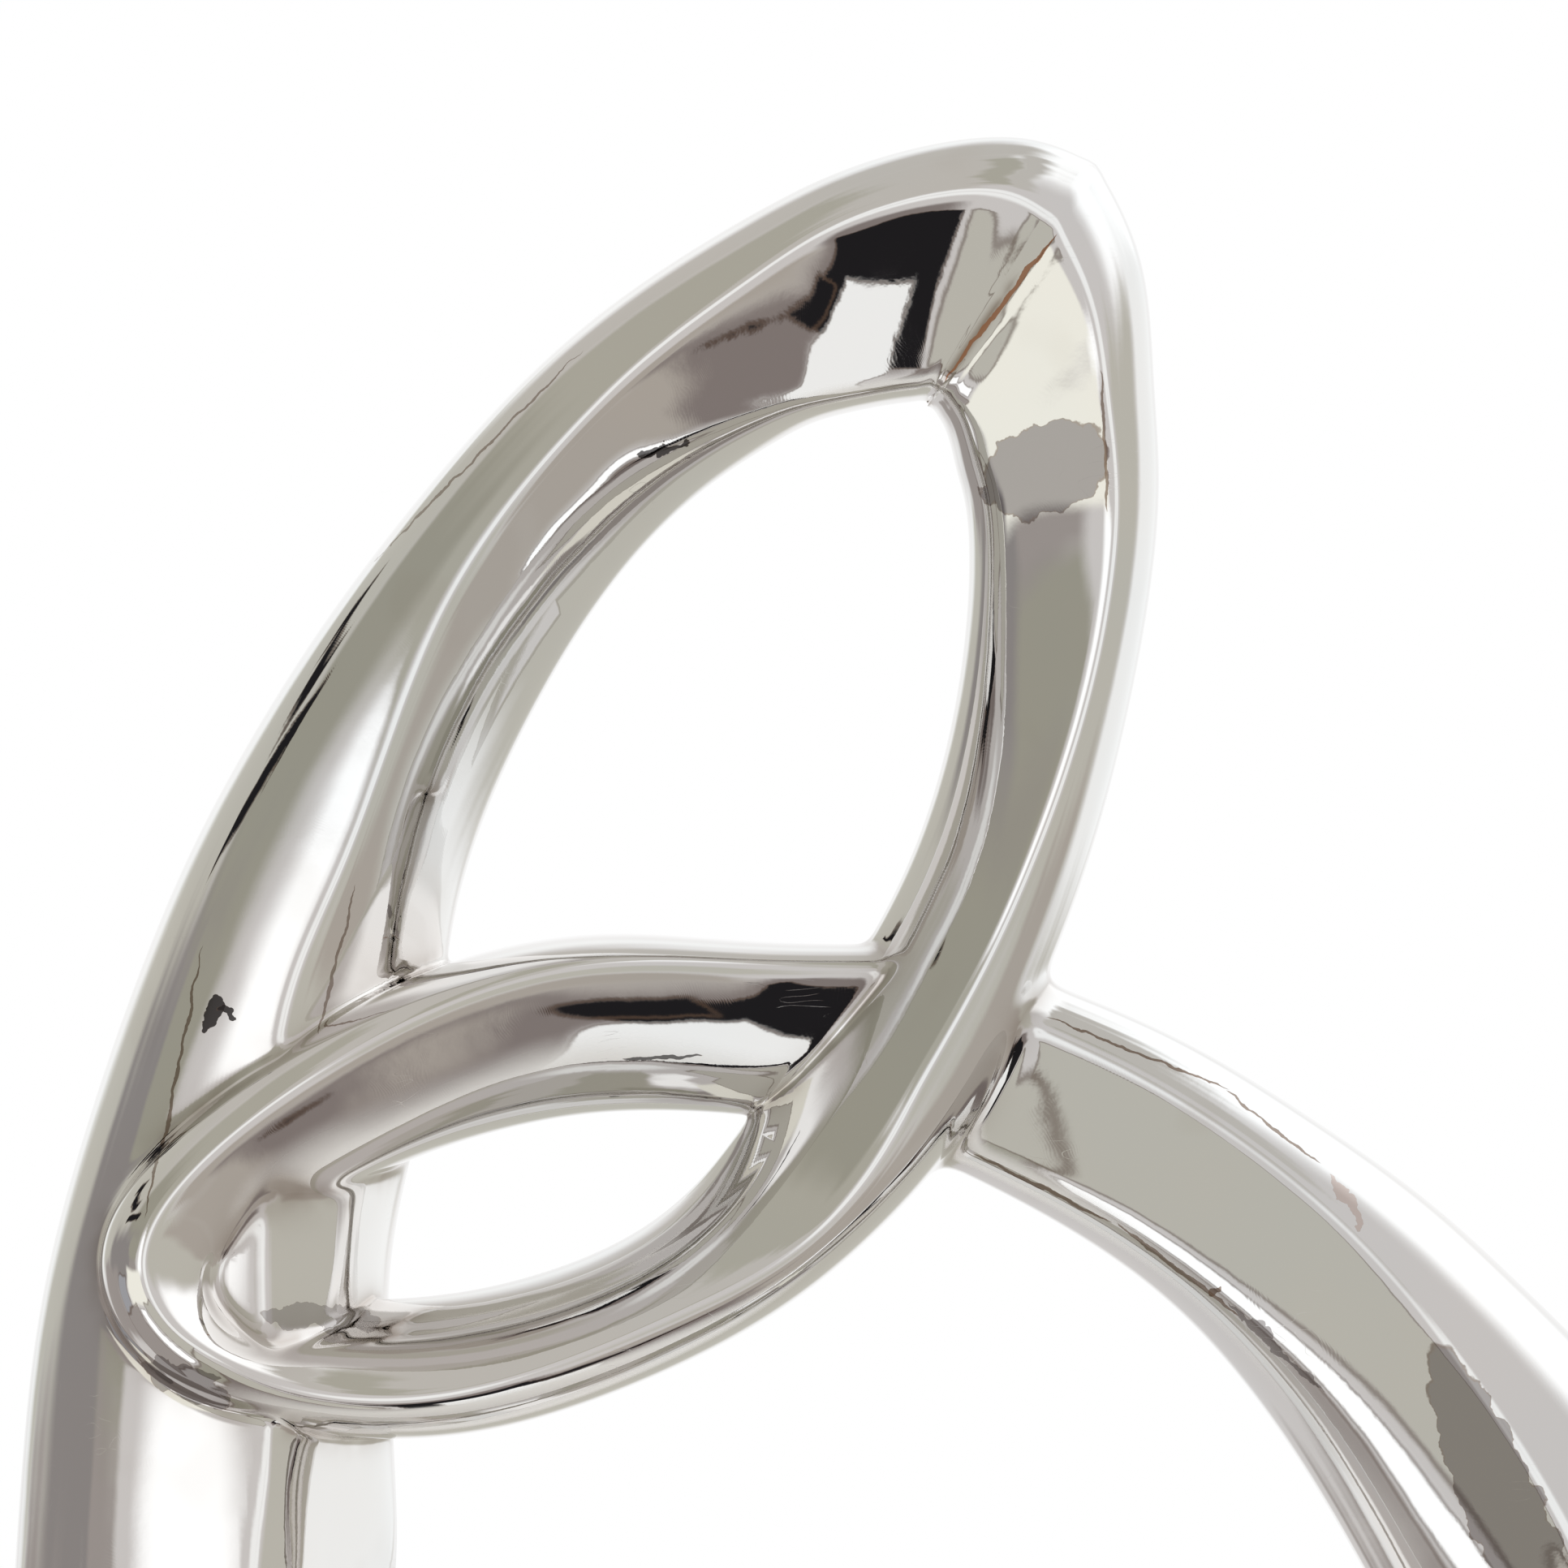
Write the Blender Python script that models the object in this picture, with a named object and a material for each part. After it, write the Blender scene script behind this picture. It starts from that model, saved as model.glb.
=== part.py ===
"""Abstract loop sculpture: hollow cast limbs of one ridged ribbon, luted together on a flat foot.

The ribbon climbs as a column, leans over as the left side of a tall leaf, turns at its pointed tip,
comes down in front of the column, scrolls round into a small eye and ends on its own right arm.
An arch from the right arm and the foot close the large lower loop. X is the width, the front faces
-Y and the underside of the felt pads is at Z = 0. All sizes are in metres, and leans in degrees.
"""

import math
from collections import namedtuple

import bmesh
import bpy
import numpy as np

JOINT_GAP = 0.0003          # between two pieces that were luted together
WALL = 0.005                # cast wall of every limb
FLAT_SINK = 0.012           # how much of the foot's round underside is ground away
PAD_RADIUS = 0.006
PAD_THICKNESS = 0.002
PAD_SPREAD_X = 0.038        # from the middle of the foot to a pad's centre
PAD_SPREAD_Y = 0.0145
DRAIN_RADIUS = 0.004        # the hole that empties the mould and vents the firing

TIP_DEPTH = 0.054           # front to back over the two ridges
ARM_DEPTH = 0.052
WAIST_DEPTH = 0.071
FOOT_DEPTH = 0.084
ARCH_END_DEPTH = 0.038
STRAND_DEPTH = 0.032
SCROLL_FORWARD = 0.016      # how far the scroll's middle lies in front of the leaf's

FLANK_DEPTH_SHARE = 0.76    # the outer flank's soft shoulder, as a share of the half depth
FLANK_SIDE_SHARE = 0.46     # a wide outer flank turns slowly into its side, a narrow one quickly
FLANK_SIDE_WIDTH = 0.031
ARC_OVERHANG = 0.35         # the side arcs' centres lie this share of their width past the shoulder

FLANK_STEPS = 2             # segments of the section outline, on its front half
OUTER_SIDE_STEPS = 3
BEVEL_STEPS = 2
INNER_SIDE_STEPS = 3
RING_SPACING = 0.0125       # between rings on a straight stretch
RING_TURN = 8.5             # between rings on a bend
BORE_RING_SKIP = 3          # the hidden bore needs one ring in three
ROUND_SIDES = 32
CUTTER_REACH = 0.1          # how far the hidden cutters run past the foot

SILVER = (0.83, 0.82, 0.81, 1.0)
FELT = (0.10, 0.10, 0.105, 1.0)

# One section of the ribbon: the ridge point, the lean of the section line that points outwards,
# the widths from the ridge to the outer silhouette, to the inner shoulder and on to the inner
# silhouette, the half depth at the ridge and at the inner shoulder, and how far it lies back.
Section = namedtuple("Section", "x z lean outer bevel side half shoulder back")

TIP = Section(0.0205, 0.4360, 55, 0.0137, 0.0345, 0.0022, TIP_DEPTH / 2, 0.012, 0)


def mix(start, end, share):
    """The half depth this share of the way from one full depth to another."""
    return (start + (end - start) * share) / 2


# From the tip down the left side of the leaf, the column, the foot and up the arch.
MAIN_RIBBON = [
    TIP,
    Section(0.0110, 0.4410, 70, 0.0115, 0.0350, 0.0015, TIP_DEPTH / 2, 0.012, 0),
    Section(-0.0125, 0.4370, 86, 0.0105, 0.0310, 0.0012, TIP_DEPTH / 2, 0.012, 0),
    Section(-0.0310, 0.4260, 105, 0.0115, 0.0235, 0.0020, mix(TIP_DEPTH, WAIST_DEPTH, 0.12), 0.013, 0),
    Section(-0.0565, 0.4050, 136, 0.0130, 0.0170, 0.0045, mix(TIP_DEPTH, WAIST_DEPTH, 0.24), 0.015, 0),
    Section(-0.0815, 0.3675, 152.5, 0.0195, 0.0095, 0.0085, mix(TIP_DEPTH, WAIST_DEPTH, 0.47), 0.020, 0),
    Section(-0.0985, 0.3275, 157, 0.0270, 0.0095, 0.0090, mix(TIP_DEPTH, WAIST_DEPTH, 0.70), 0.024, 0.001),
    Section(-0.1085, 0.3015, 161, 0.0285, 0.0120, 0.0120, mix(TIP_DEPTH, WAIST_DEPTH, 0.82), 0.025, 0.002),
    Section(-0.1125, 0.2595, 172, 0.0385, 0.0135, 0.0060, WAIST_DEPTH / 2, 0.026, 0.002),
    Section(-0.1095, 0.2090, 180, 0.0484, 0.0050, 0.0125, mix(WAIST_DEPTH, FOOT_DEPTH, 0.54), 0.030, 0.001),
    Section(-0.1055, 0.1455, 191, 0.0496, 0.0055, 0.0110, mix(WAIST_DEPTH, FOOT_DEPTH, 0.85), 0.032, 0),
    Section(-0.0715, 0.0845, 222, 0.0560, 0.0055, 0.0080, FOOT_DEPTH / 2, 0.033, 0),
    Section(0.0000, 0.0505, 270, 0.0605, 0.0050, 0.0060, FOOT_DEPTH / 2, 0.033, 0),
    Section(0.0820, 0.0770, 317, 0.0520, 0.0070, 0.0085, FOOT_DEPTH / 2, 0.032, 0),
    Section(0.1175, 0.1310, 357, 0.0410, 0.0130, 0.0110, mix(FOOT_DEPTH, ARCH_END_DEPTH, 0.17), 0.028, 0),
    Section(0.1145, 0.1935, 389, 0.0285, 0.0190, 0.0125, mix(FOOT_DEPTH, ARCH_END_DEPTH, 0.39), 0.022, 0),
    Section(0.0885, 0.2430, 408, 0.0175, 0.0220, 0.0105, mix(FOOT_DEPTH, ARCH_END_DEPTH, 0.57), 0.019, 0),
    Section(0.0635, 0.2710, 415, 0.0115, 0.0240, 0.0060, mix(FOOT_DEPTH, ARCH_END_DEPTH, 0.74), 0.015, 0),
    Section(0.0340, 0.2910, 425, 0.0090, 0.0240, 0.0045, mix(FOOT_DEPTH, ARCH_END_DEPTH, 0.91), 0.012, 0),
    Section(0.0050, 0.3040, 420, 0.0080, 0.0235, 0.0040, ARCH_END_DEPTH / 2, 0.011, 0),
]
COLUMN_FOOT_JOINT = 11      # places in the list above where two castings meet
FOOT_ARCH_JOINT = 13

# From the tip down the right arm, in front of the column, round the scroll and back to the arm.
LEAF_RIBBON = [
    TIP,
    Section(0.0265, 0.4225, 38, 0.0124, 0.0290, 0.0023, TIP_DEPTH / 2, 0.012, 0),
    Section(0.0295, 0.4060, 22, 0.0095, 0.0250, 0.0023, TIP_DEPTH / 2, 0.012, 0),
    Section(0.0310, 0.3890, 3, 0.0080, 0.0225, 0.0024, ARM_DEPTH / 2, 0.012, 0),
    Section(0.0270, 0.3590, -12, 0.0080, 0.0195, 0.0024, ARM_DEPTH / 2, 0.012, 0),
    Section(0.0145, 0.3230, -24, 0.0105, 0.0155, 0.0030, ARM_DEPTH / 2, 0.012, 0),
    Section(-0.0020, 0.2930, -36, 0.0130, 0.0140, 0.0045, ARM_DEPTH / 2, 0.013, -0.001),
    Section(-0.0230, 0.2685, -46, 0.0125, 0.0080, 0.0080, ARM_DEPTH / 2, 0.015, -0.004),
    Section(-0.0440, 0.2535, -60, 0.0115, 0.0060, 0.0065, ARM_DEPTH / 2, 0.017, -0.007),
    Section(-0.0755, 0.2415, -77, 0.0105, 0.0065, 0.0065, ARM_DEPTH / 2, 0.017, -0.012),
    Section(-0.1025, 0.2410, -98, 0.0110, 0.0075, 0.0045, ARM_DEPTH / 2, 0.016, -0.015),
    Section(-0.1250, 0.2475, -130, 0.0095, 0.0095, 0.0015, ARM_DEPTH / 2, 0.015, -SCROLL_FORWARD),
    Section(-0.1325, 0.2600, -175, 0.0090, 0.0120, 0.0010, ARM_DEPTH / 2, 0.014, -SCROLL_FORWARD),
    Section(-0.1260, 0.2740, -217, 0.0075, 0.0135, 0.0017, ARM_DEPTH / 2, 0.014, -0.015),
    Section(-0.1020, 0.2930, -238, 0.0075, 0.0155, 0.0025, ARM_DEPTH / 2, 0.014, -0.012),
    Section(-0.0650, 0.3085, -258, 0.0057, 0.0195, 0.0055, mix(ARM_DEPTH, STRAND_DEPTH, 0.2), 0.013, -0.005),
    Section(-0.0285, 0.3095, -270, 0.0042, 0.0205, 0.0055, mix(ARM_DEPTH, STRAND_DEPTH, 0.7), 0.011, 0.001),
    Section(0.0080, 0.3090, -299, 0.0043, 0.0210, 0.0055, STRAND_DEPTH / 2, 0.010, 0.003),
]
ARM_EYE_JOINT = 9

FLAT_Z = PAD_THICKNESS + JOINT_GAP


def spline(knots, values, at):
    """Natural cubic spline through one row of values per knot, read at every place in at."""
    count = len(knots)
    step = np.diff(knots)
    slope = np.diff(values, axis=0) / step[:, None]
    matrix = np.eye(count)
    right = np.zeros_like(values)
    for i in range(1, count - 1):
        matrix[i, i - 1:i + 2] = step[i - 1], 2 * (step[i - 1] + step[i]), step[i]
        right[i] = 6 * (slope[i] - slope[i - 1])
    bend = np.linalg.solve(matrix, right)
    k = np.clip(np.searchsorted(knots, at, side="right") - 1, 0, count - 2)
    past = (at - knots[k])[:, None]
    left = (knots[k + 1] - at)[:, None]
    h = step[k][:, None]
    curve = (bend[k] * left ** 3 + bend[k + 1] * past ** 3) / (6 * h)
    return curve + (values[k] / h - bend[k] * h / 6) * left + (values[k + 1] / h - bend[k + 1] * h / 6) * past


def ribbon_sections(ribbon, first, last):
    """Sections between two places of the list, close together where the ribbon bends."""
    rows = np.array(ribbon, dtype=float)
    knots = np.concatenate([[0], np.cumsum(np.hypot(*np.diff(rows[:, :2], axis=0).T) ** 0.5)])
    fine = np.linspace(knots[first], knots[last], 60 * (last - first) + 1)
    trial = spline(knots, rows, fine)
    travel = np.hypot(*np.diff(trial[:, :2], axis=0).T) / RING_SPACING
    turn = np.abs(np.diff(trial[:, 2])) / RING_TURN
    done = np.concatenate([[0], np.cumsum(np.hypot(travel, turn))])
    places = np.interp(np.linspace(0, done[-1], math.ceil(done[-1]) + 1), done, fine)
    return [Section(*row) for row in spline(knots, rows, places)]


def side_arc(shoulder_n, shoulder_y, side, steps, sign):
    """Points from a silhouette in to the shoulder, along an ellipse upright at the silhouette."""
    end = math.acos(ARC_OVERHANG / (1 + ARC_OVERHANG))
    depth = shoulder_y / math.sin(end)
    centre = shoulder_n - sign * ARC_OVERHANG * side
    width = (1 + ARC_OVERHANG) * side
    angles = [end * i / steps for i in range(steps)]
    return [(centre + sign * width * math.cos(a), -depth * math.sin(a)) for a in angles]


def flank_side(section):
    return FLANK_SIDE_SHARE * section.outer ** 2 / (section.outer + FLANK_SIDE_WIDTH)


def outline(section):
    """The section's outline as (outward, back) pairs, from the outer silhouette over the front."""
    side = flank_side(section)
    flank = section.outer - side
    flank_y = FLANK_DEPTH_SHARE * section.half
    front = side_arc(flank, flank_y, side, OUTER_SIDE_STEPS, 1)
    for i in range(FLANK_STEPS):
        share = i / FLANK_STEPS
        front.append((flank * (1 - share), -flank_y - (section.half - flank_y) * share))
    for i in range(BEVEL_STEPS):
        share = i / BEVEL_STEPS
        front.append((-section.bevel * share, -section.half + (section.half - section.shoulder) * share))
    inner = side_arc(-section.bevel, section.shoulder, section.side, INNER_SIDE_STEPS, -1)
    front.append((-section.bevel, -section.shoulder))
    front += reversed(inner)
    return front + [(n, -y) for n, y in front[-2:0:-1]]


def grown(points, amount):
    """The outline moved outwards by amount, each corner along its own bisector."""
    rows = np.array(points)
    edge = np.roll(rows, -1, axis=0) - rows
    normal = np.stack([-edge[:, 1], edge[:, 0]], axis=1)
    normal /= np.linalg.norm(normal, axis=1)[:, None]
    bisector = normal + np.roll(normal, 1, axis=0)
    bisector /= np.sum(bisector * bisector, axis=1)[:, None] / 2
    area = np.sum(rows[:, 0] * np.roll(rows[:, 1], -1) - rows[:, 1] * np.roll(rows[:, 0], -1))
    return rows + bisector * (-amount if area > 0 else amount)


def bore_outline(section, count, outer_wall):
    """An ellipse inside the section that leaves the cast wall, with as many points as the outline."""
    out = section.outer - outer_wall
    inwards = section.bevel + section.side - WALL
    middle = (out - inwards) / 2
    width = (out + inwards) / 2
    depth = (section.half + section.shoulder) / 2 - WALL
    angles = [2 * math.pi * i / count for i in range(count)]
    return [(middle + width * math.cos(a), -depth * math.sin(a)) for a in angles]


def placed(section, points, push=(0, 0)):
    """Section points in space."""
    c, s = math.cos(math.radians(section.lean)), math.sin(math.radians(section.lean))
    return [(section.x + n * c + push[0], section.back + y, section.z + n * s + push[1]) for n, y in points]


def end_push(sections, at_start):
    """Half a joint gap, from the joint's plane back into the limb."""
    section, beside = (sections[0], sections[1]) if at_start else (sections[-1], sections[-2])
    lean = math.radians(section.lean)
    across = np.array([-math.sin(lean), math.cos(lean)])
    inwards = np.array([beside.x - section.x, beside.z - section.z])
    return across * math.copysign(JOINT_GAP / 2, across @ inwards)


def add_skin(bm, rings):
    """Quads between neighbouring rings of points."""
    grid = [[bm.verts.new(p) for p in ring] for ring in rings]
    for here, there in zip(grid, grid[1:]):
        for i in range(len(here)):
            j = (i + 1) % len(here)
            bm.faces.new((here[i], here[j], there[j], there[i]))
    return grid


def new_object(name, bm, material):
    bmesh.ops.recalc_face_normals(bm, faces=bm.faces)
    mesh = bpy.data.meshes.new(name)
    bm.to_mesh(mesh)
    bm.free()
    mesh.materials.append(material)
    mesh.shade_smooth()
    mesh.set_sharp_from_angle(angle=math.radians(32))
    thing = bpy.data.objects.new(name, mesh)
    bpy.context.collection.objects.link(thing)
    return thing


def limb(name, ribbon, first, last, material, outer_wall=WALL):
    """A hollow limb, open at both ends, where the next casting or its parent covers it."""
    sections = ribbon_sections(ribbon, first, last)
    pushes = [(0, 0)] * len(sections)
    pushes[0] = end_push(sections, True)
    pushes[-1] = end_push(sections, False)
    outsides = [placed(s, outline(s), p) for s, p in zip(sections, pushes)]
    kept = sorted(set(range(0, len(sections), BORE_RING_SKIP)) | {len(sections) - 1})
    count = len(outsides[0])
    bores = [placed(sections[k], bore_outline(sections[k], count, outer_wall), pushes[k]) for k in kept]
    bm = bmesh.new()
    outer = add_skin(bm, outsides)
    inner = add_skin(bm, bores)
    for a, b in ((outer[0], inner[0]), (outer[-1], inner[-1])):
        for i in range(count):
            j = (i + 1) % count
            bm.faces.new((a[i], a[j], b[j], b[i]))
    return new_object(name, bm, material)


def envelope(name, ribbon, first, last, material):
    """A solid that is one joint gap larger than the limb, which cuts the limb's seat in others."""
    sections = ribbon_sections(ribbon, first, last)
    bm = bmesh.new()
    rings = add_skin(bm, [placed(s, grown(outline(s), JOINT_GAP)) for s in sections])
    bm.faces.new(rings[0])
    bm.faces.new(rings[-1])
    return guide(new_object(name, bm, material))


def guide(thing):
    """A helper that isn't shown. Its flat faces give a crisp edge where it cuts a smooth piece."""
    thing.data.shade_flat()
    thing.hide_render = True
    thing.display_type = "WIRE"
    return thing


def cut(thing, cutter):
    change = thing.modifiers.new("cut " + cutter.name, "BOOLEAN")
    change.operation = "DIFFERENCE"
    change.solver = "EXACT"
    change.object = cutter


def block(name, low, high, material):
    bm = bmesh.new()
    bmesh.ops.create_cube(bm, size=1)
    for vertex in bm.verts:
        for axis in range(3):
            vertex.co[axis] = low[axis] if vertex.co[axis] < 0 else high[axis]
    return new_object(name, bm, material)


def disc(name, x, y, low, high, radius, material):
    """An upright round solid between two heights."""
    bm = bmesh.new()
    bmesh.ops.create_cone(
        bm, cap_ends=True, segments=ROUND_SIDES, radius1=radius, radius2=radius, depth=high - low)
    bmesh.ops.translate(bm, verts=bm.verts, vec=(x, y, (low + high) / 2))
    return new_object(name, bm, material)


def make_material(name, colour, roughness, metallic):
    material = bpy.data.materials.new(name)
    material.use_nodes = True
    material.diffuse_color = colour
    shader = material.node_tree.nodes["Principled BSDF"]
    shader.inputs["Base Color"].default_value = colour
    shader.inputs["Roughness"].default_value = roughness
    shader.inputs["Metallic"].default_value = metallic
    return material


def build_castings():
    """The five hollow castings. What meets a round limb from the side is cut to that limb's shape."""
    names = ("column", "foot", "arch", "right_arm", "eye_loop")
    glaze = {name: make_material(name + "_glaze", SILVER, 0.06, 1.0) for name in names}
    column = limb("column", MAIN_RIBBON, 0, COLUMN_FOOT_JOINT, glaze["column"])
    foot = limb("foot", MAIN_RIBBON, COLUMN_FOOT_JOINT, FOOT_ARCH_JOINT, glaze["foot"], WALL + FLAT_SINK)
    arch = limb("arch", MAIN_RIBBON, FOOT_ARCH_JOINT, len(MAIN_RIBBON) - 1, glaze["arch"])
    limb("right_arm", LEAF_RIBBON, 0, ARM_EYE_JOINT, glaze["right_arm"])
    eye = limb("eye_loop", LEAF_RIBBON, ARM_EYE_JOINT, len(LEAF_RIBBON) - 1, glaze["eye_loop"])

    arm_seat = envelope("arm_seat", LEAF_RIBBON, 0, ARM_EYE_JOINT, glaze["right_arm"])
    eye_seat = envelope("eye_seat", LEAF_RIBBON, ARM_EYE_JOINT, len(LEAF_RIBBON) - 1, glaze["eye_loop"])
    cut(arch, arm_seat)
    cut(eye, arm_seat)
    cut(column, eye_seat)

    reach = CUTTER_REACH
    ground = block("ground", (-reach, -reach, -reach), (reach, reach, FLAT_Z), glaze["foot"])
    drain = disc("drain", 0, 0, -reach, FLAT_Z + 2 * WALL + DRAIN_RADIUS, DRAIN_RADIUS, glaze["foot"])
    cut(foot, guide(ground))
    cut(foot, guide(drain))


def build_pads():
    for number, (side_x, side_y) in enumerate(((-1, -1), (1, -1), (-1, 1), (1, 1)), start=1):
        felt = make_material(f"felt_{number}", FELT, 0.95, 0.0)
        x, y = side_x * PAD_SPREAD_X, side_y * PAD_SPREAD_Y
        disc(f"felt_pad_{number}", x, y, 0, PAD_THICKNESS, PAD_RADIUS, felt)


def main():
    for thing in list(bpy.data.objects):
        bpy.data.objects.remove(thing, do_unlink=True)
    build_castings()
    build_pads()


main()
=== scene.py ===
"""Ceramic loop sculpture: a ridged ribbon under a silver lustre glaze, on felt pads, in a pale studio.

The castings' skins are one distance field: each limb's ridged section runs along its spline, and
neighbouring limbs melt into each other with a small fillet, as slip and glaze fill a luted joint.
Sizes are in metres, X is the width, the front faces -Y and the pads' underside is at Z = 0.
"""

import math
from collections import namedtuple

import bmesh
import bpy
import numpy as np
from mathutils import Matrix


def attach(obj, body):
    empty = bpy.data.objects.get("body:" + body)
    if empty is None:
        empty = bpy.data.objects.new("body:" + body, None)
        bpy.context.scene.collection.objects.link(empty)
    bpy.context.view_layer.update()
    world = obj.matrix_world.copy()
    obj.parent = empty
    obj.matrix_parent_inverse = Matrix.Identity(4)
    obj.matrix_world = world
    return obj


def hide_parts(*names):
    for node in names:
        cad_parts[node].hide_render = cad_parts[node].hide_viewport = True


bl_info = {
    "name": "Ceramic loop sculpture",
    "version": (1, 0, 0),
    "blender": (4, 5, 0),
    "location": "3D View > Sidebar > Sculpture",
    "description": "Builds the glazed castings, the felt pads and the studio of a loop sculpture",
    "category": "Object",
}

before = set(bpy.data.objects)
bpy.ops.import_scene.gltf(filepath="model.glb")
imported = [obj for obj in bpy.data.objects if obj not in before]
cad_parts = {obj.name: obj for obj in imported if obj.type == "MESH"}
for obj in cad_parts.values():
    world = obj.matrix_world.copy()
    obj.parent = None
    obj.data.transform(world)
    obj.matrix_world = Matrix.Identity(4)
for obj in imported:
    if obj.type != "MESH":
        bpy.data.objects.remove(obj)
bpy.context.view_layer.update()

# One section of the ribbon: the ridge point, the lean of the section line that points outwards,
# the widths from the ridge to the outer silhouette, to the inner shoulder and on to the inner
# silhouette, the half depth at the ridge and at the inner shoulder, and how far it lies back.
Section = namedtuple("Section", "x z lean outer bevel side half shoulder back")

TIP = Section(0.0205, 0.4360, 55, 0.0137, 0.0345, 0.0022, 0.0270, 0.012, 0)

# From the tip down the left side of the leaf, the column, the foot and up the arch.
MAIN_RIBBON = [
    TIP,
    Section(0.0110, 0.4410, 70, 0.0115, 0.0350, 0.0015, 0.0270, 0.012, 0),
    Section(-0.0125, 0.4370, 86, 0.0105, 0.0310, 0.0012, 0.0270, 0.012, 0),
    Section(-0.0310, 0.4260, 105, 0.0115, 0.0235, 0.0020, 0.0280, 0.013, 0),
    Section(-0.0565, 0.4050, 136, 0.0130, 0.0170, 0.0045, 0.0290, 0.015, 0),
    Section(-0.0815, 0.3675, 152.5, 0.0195, 0.0095, 0.0085, 0.0310, 0.020, 0),
    Section(-0.0985, 0.3275, 157, 0.0270, 0.0095, 0.0090, 0.0330, 0.024, 0.001),
    Section(-0.1085, 0.3015, 161, 0.0285, 0.0120, 0.0120, 0.0340, 0.025, 0.002),
    Section(-0.1125, 0.2595, 172, 0.0385, 0.0135, 0.0060, 0.0355, 0.026, 0.002),
    Section(-0.1095, 0.2090, 180, 0.0484, 0.0050, 0.0125, 0.0390, 0.030, 0.001),
    Section(-0.1055, 0.1455, 191, 0.0496, 0.0055, 0.0110, 0.0410, 0.032, 0),
    Section(-0.0715, 0.0845, 222, 0.0560, 0.0055, 0.0080, 0.0420, 0.033, 0),
    Section(0.0000, 0.0505, 270, 0.0605, 0.0050, 0.0060, 0.0420, 0.033, 0),
    Section(0.0820, 0.0770, 317, 0.0520, 0.0070, 0.0085, 0.0420, 0.032, 0),
    Section(0.1175, 0.1310, 357, 0.0410, 0.0130, 0.0110, 0.0380, 0.028, 0),
    Section(0.1145, 0.1935, 389, 0.0285, 0.0190, 0.0125, 0.0330, 0.022, 0),
    Section(0.0885, 0.2430, 408, 0.0175, 0.0220, 0.0105, 0.0290, 0.019, 0),
    Section(0.0635, 0.2710, 415, 0.0115, 0.0240, 0.0060, 0.0250, 0.015, 0),
    Section(0.0340, 0.2910, 425, 0.0090, 0.0240, 0.0045, 0.0210, 0.012, 0),
    Section(0.0050, 0.3040, 420, 0.0080, 0.0235, 0.0040, 0.0190, 0.011, 0),
]

# From the tip down the right arm, in front of the column, round the scroll and back to the arm.
LEAF_RIBBON = [
    TIP,
    Section(0.0265, 0.4225, 38, 0.0124, 0.0290, 0.0023, 0.0270, 0.012, 0),
    Section(0.0295, 0.4060, 22, 0.0095, 0.0250, 0.0023, 0.0270, 0.012, 0),
    Section(0.0310, 0.3890, 3, 0.0080, 0.0225, 0.0024, 0.0260, 0.012, 0),
    Section(0.0270, 0.3590, -12, 0.0080, 0.0195, 0.0024, 0.0260, 0.012, 0),
    Section(0.0145, 0.3230, -24, 0.0105, 0.0155, 0.0030, 0.0260, 0.012, 0),
    Section(-0.0020, 0.2930, -36, 0.0130, 0.0140, 0.0045, 0.0260, 0.013, -0.001),
    Section(-0.0230, 0.2685, -46, 0.0125, 0.0080, 0.0080, 0.0260, 0.015, -0.004),
    Section(-0.0440, 0.2535, -60, 0.0115, 0.0060, 0.0065, 0.0260, 0.017, -0.007),
    Section(-0.0755, 0.2415, -77, 0.0105, 0.0065, 0.0065, 0.0260, 0.017, -0.012),
    Section(-0.1025, 0.2410, -98, 0.0110, 0.0060, 0.0060, 0.0260, 0.016, -0.015),
    Section(-0.1250, 0.2475, -130, 0.0095, 0.0088, 0.0024, 0.0260, 0.015, -0.016),
    Section(-0.1325, 0.2600, -175, 0.0090, 0.0142, 0.0010, 0.0260, 0.014, -0.016),
    Section(-0.1260, 0.2740, -217, 0.0075, 0.0160, 0.0014, 0.0260, 0.014, -0.015),
    Section(-0.1020, 0.2930, -238, 0.0075, 0.0182, 0.0025, 0.0260, 0.014, -0.012),
    Section(-0.0650, 0.3085, -258, 0.0057, 0.0195, 0.0055, 0.0240, 0.013, -0.005),
    Section(-0.0285, 0.3095, -270, 0.0042, 0.0205, 0.0055, 0.0190, 0.011, 0.001),
    Section(0.0080, 0.3090, -299, 0.0043, 0.0210, 0.0055, 0.0160, 0.010, 0.003),
]

# The form of a section.
FLANK_DEPTH_SHARE = 0.76    # the outer flank's soft shoulder, as a share of the half depth
FLANK_SIDE_SHARE = 0.46     # a wide outer flank turns slowly into its side, a narrow one quickly
FLANK_SIDE_WIDTH = 0.031
FLANK_BULGE = 0.60          # how much the slopes round over, from 0 for flat ones to 1
BEVEL_BULGE = 0.30
BULGE_REACH = 1.3           # as a share of a slope's width
RIDGE_SOFTNESS = 0.0020     # how far the glaze rounds the ridge and the two shoulders
OUTER_SOFTNESS = 0.0060
INNER_SOFTNESS = 0.0040

# How a point finds its place along a limb and settles on a skin.
STATION_STEP = 0.02         # along a limb, in the spline's own measure
LONGEST_STEP = 0.03
LEAST_TURN = 1e-3
OWN_REACH = 0.03            # a limb's own skin may look this far past its ends
PAST_END = 1e-4             # a point this far off its section line lies past the limb's end
FAR = 0.012                 # further away than this a neighbour doesn't matter
GRADIENT_STEP = 2e-6
GRADIENT_CORNERS = np.array([[1, -1, -1], [-1, -1, 1], [-1, 1, -1], [1, 1, 1]], float)
FLATTEST_SLOPE = 0.2
LONGEST_MOVE = 0.003
FIRST_ROUNDS = 3
MORE_ROUNDS = 2

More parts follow.
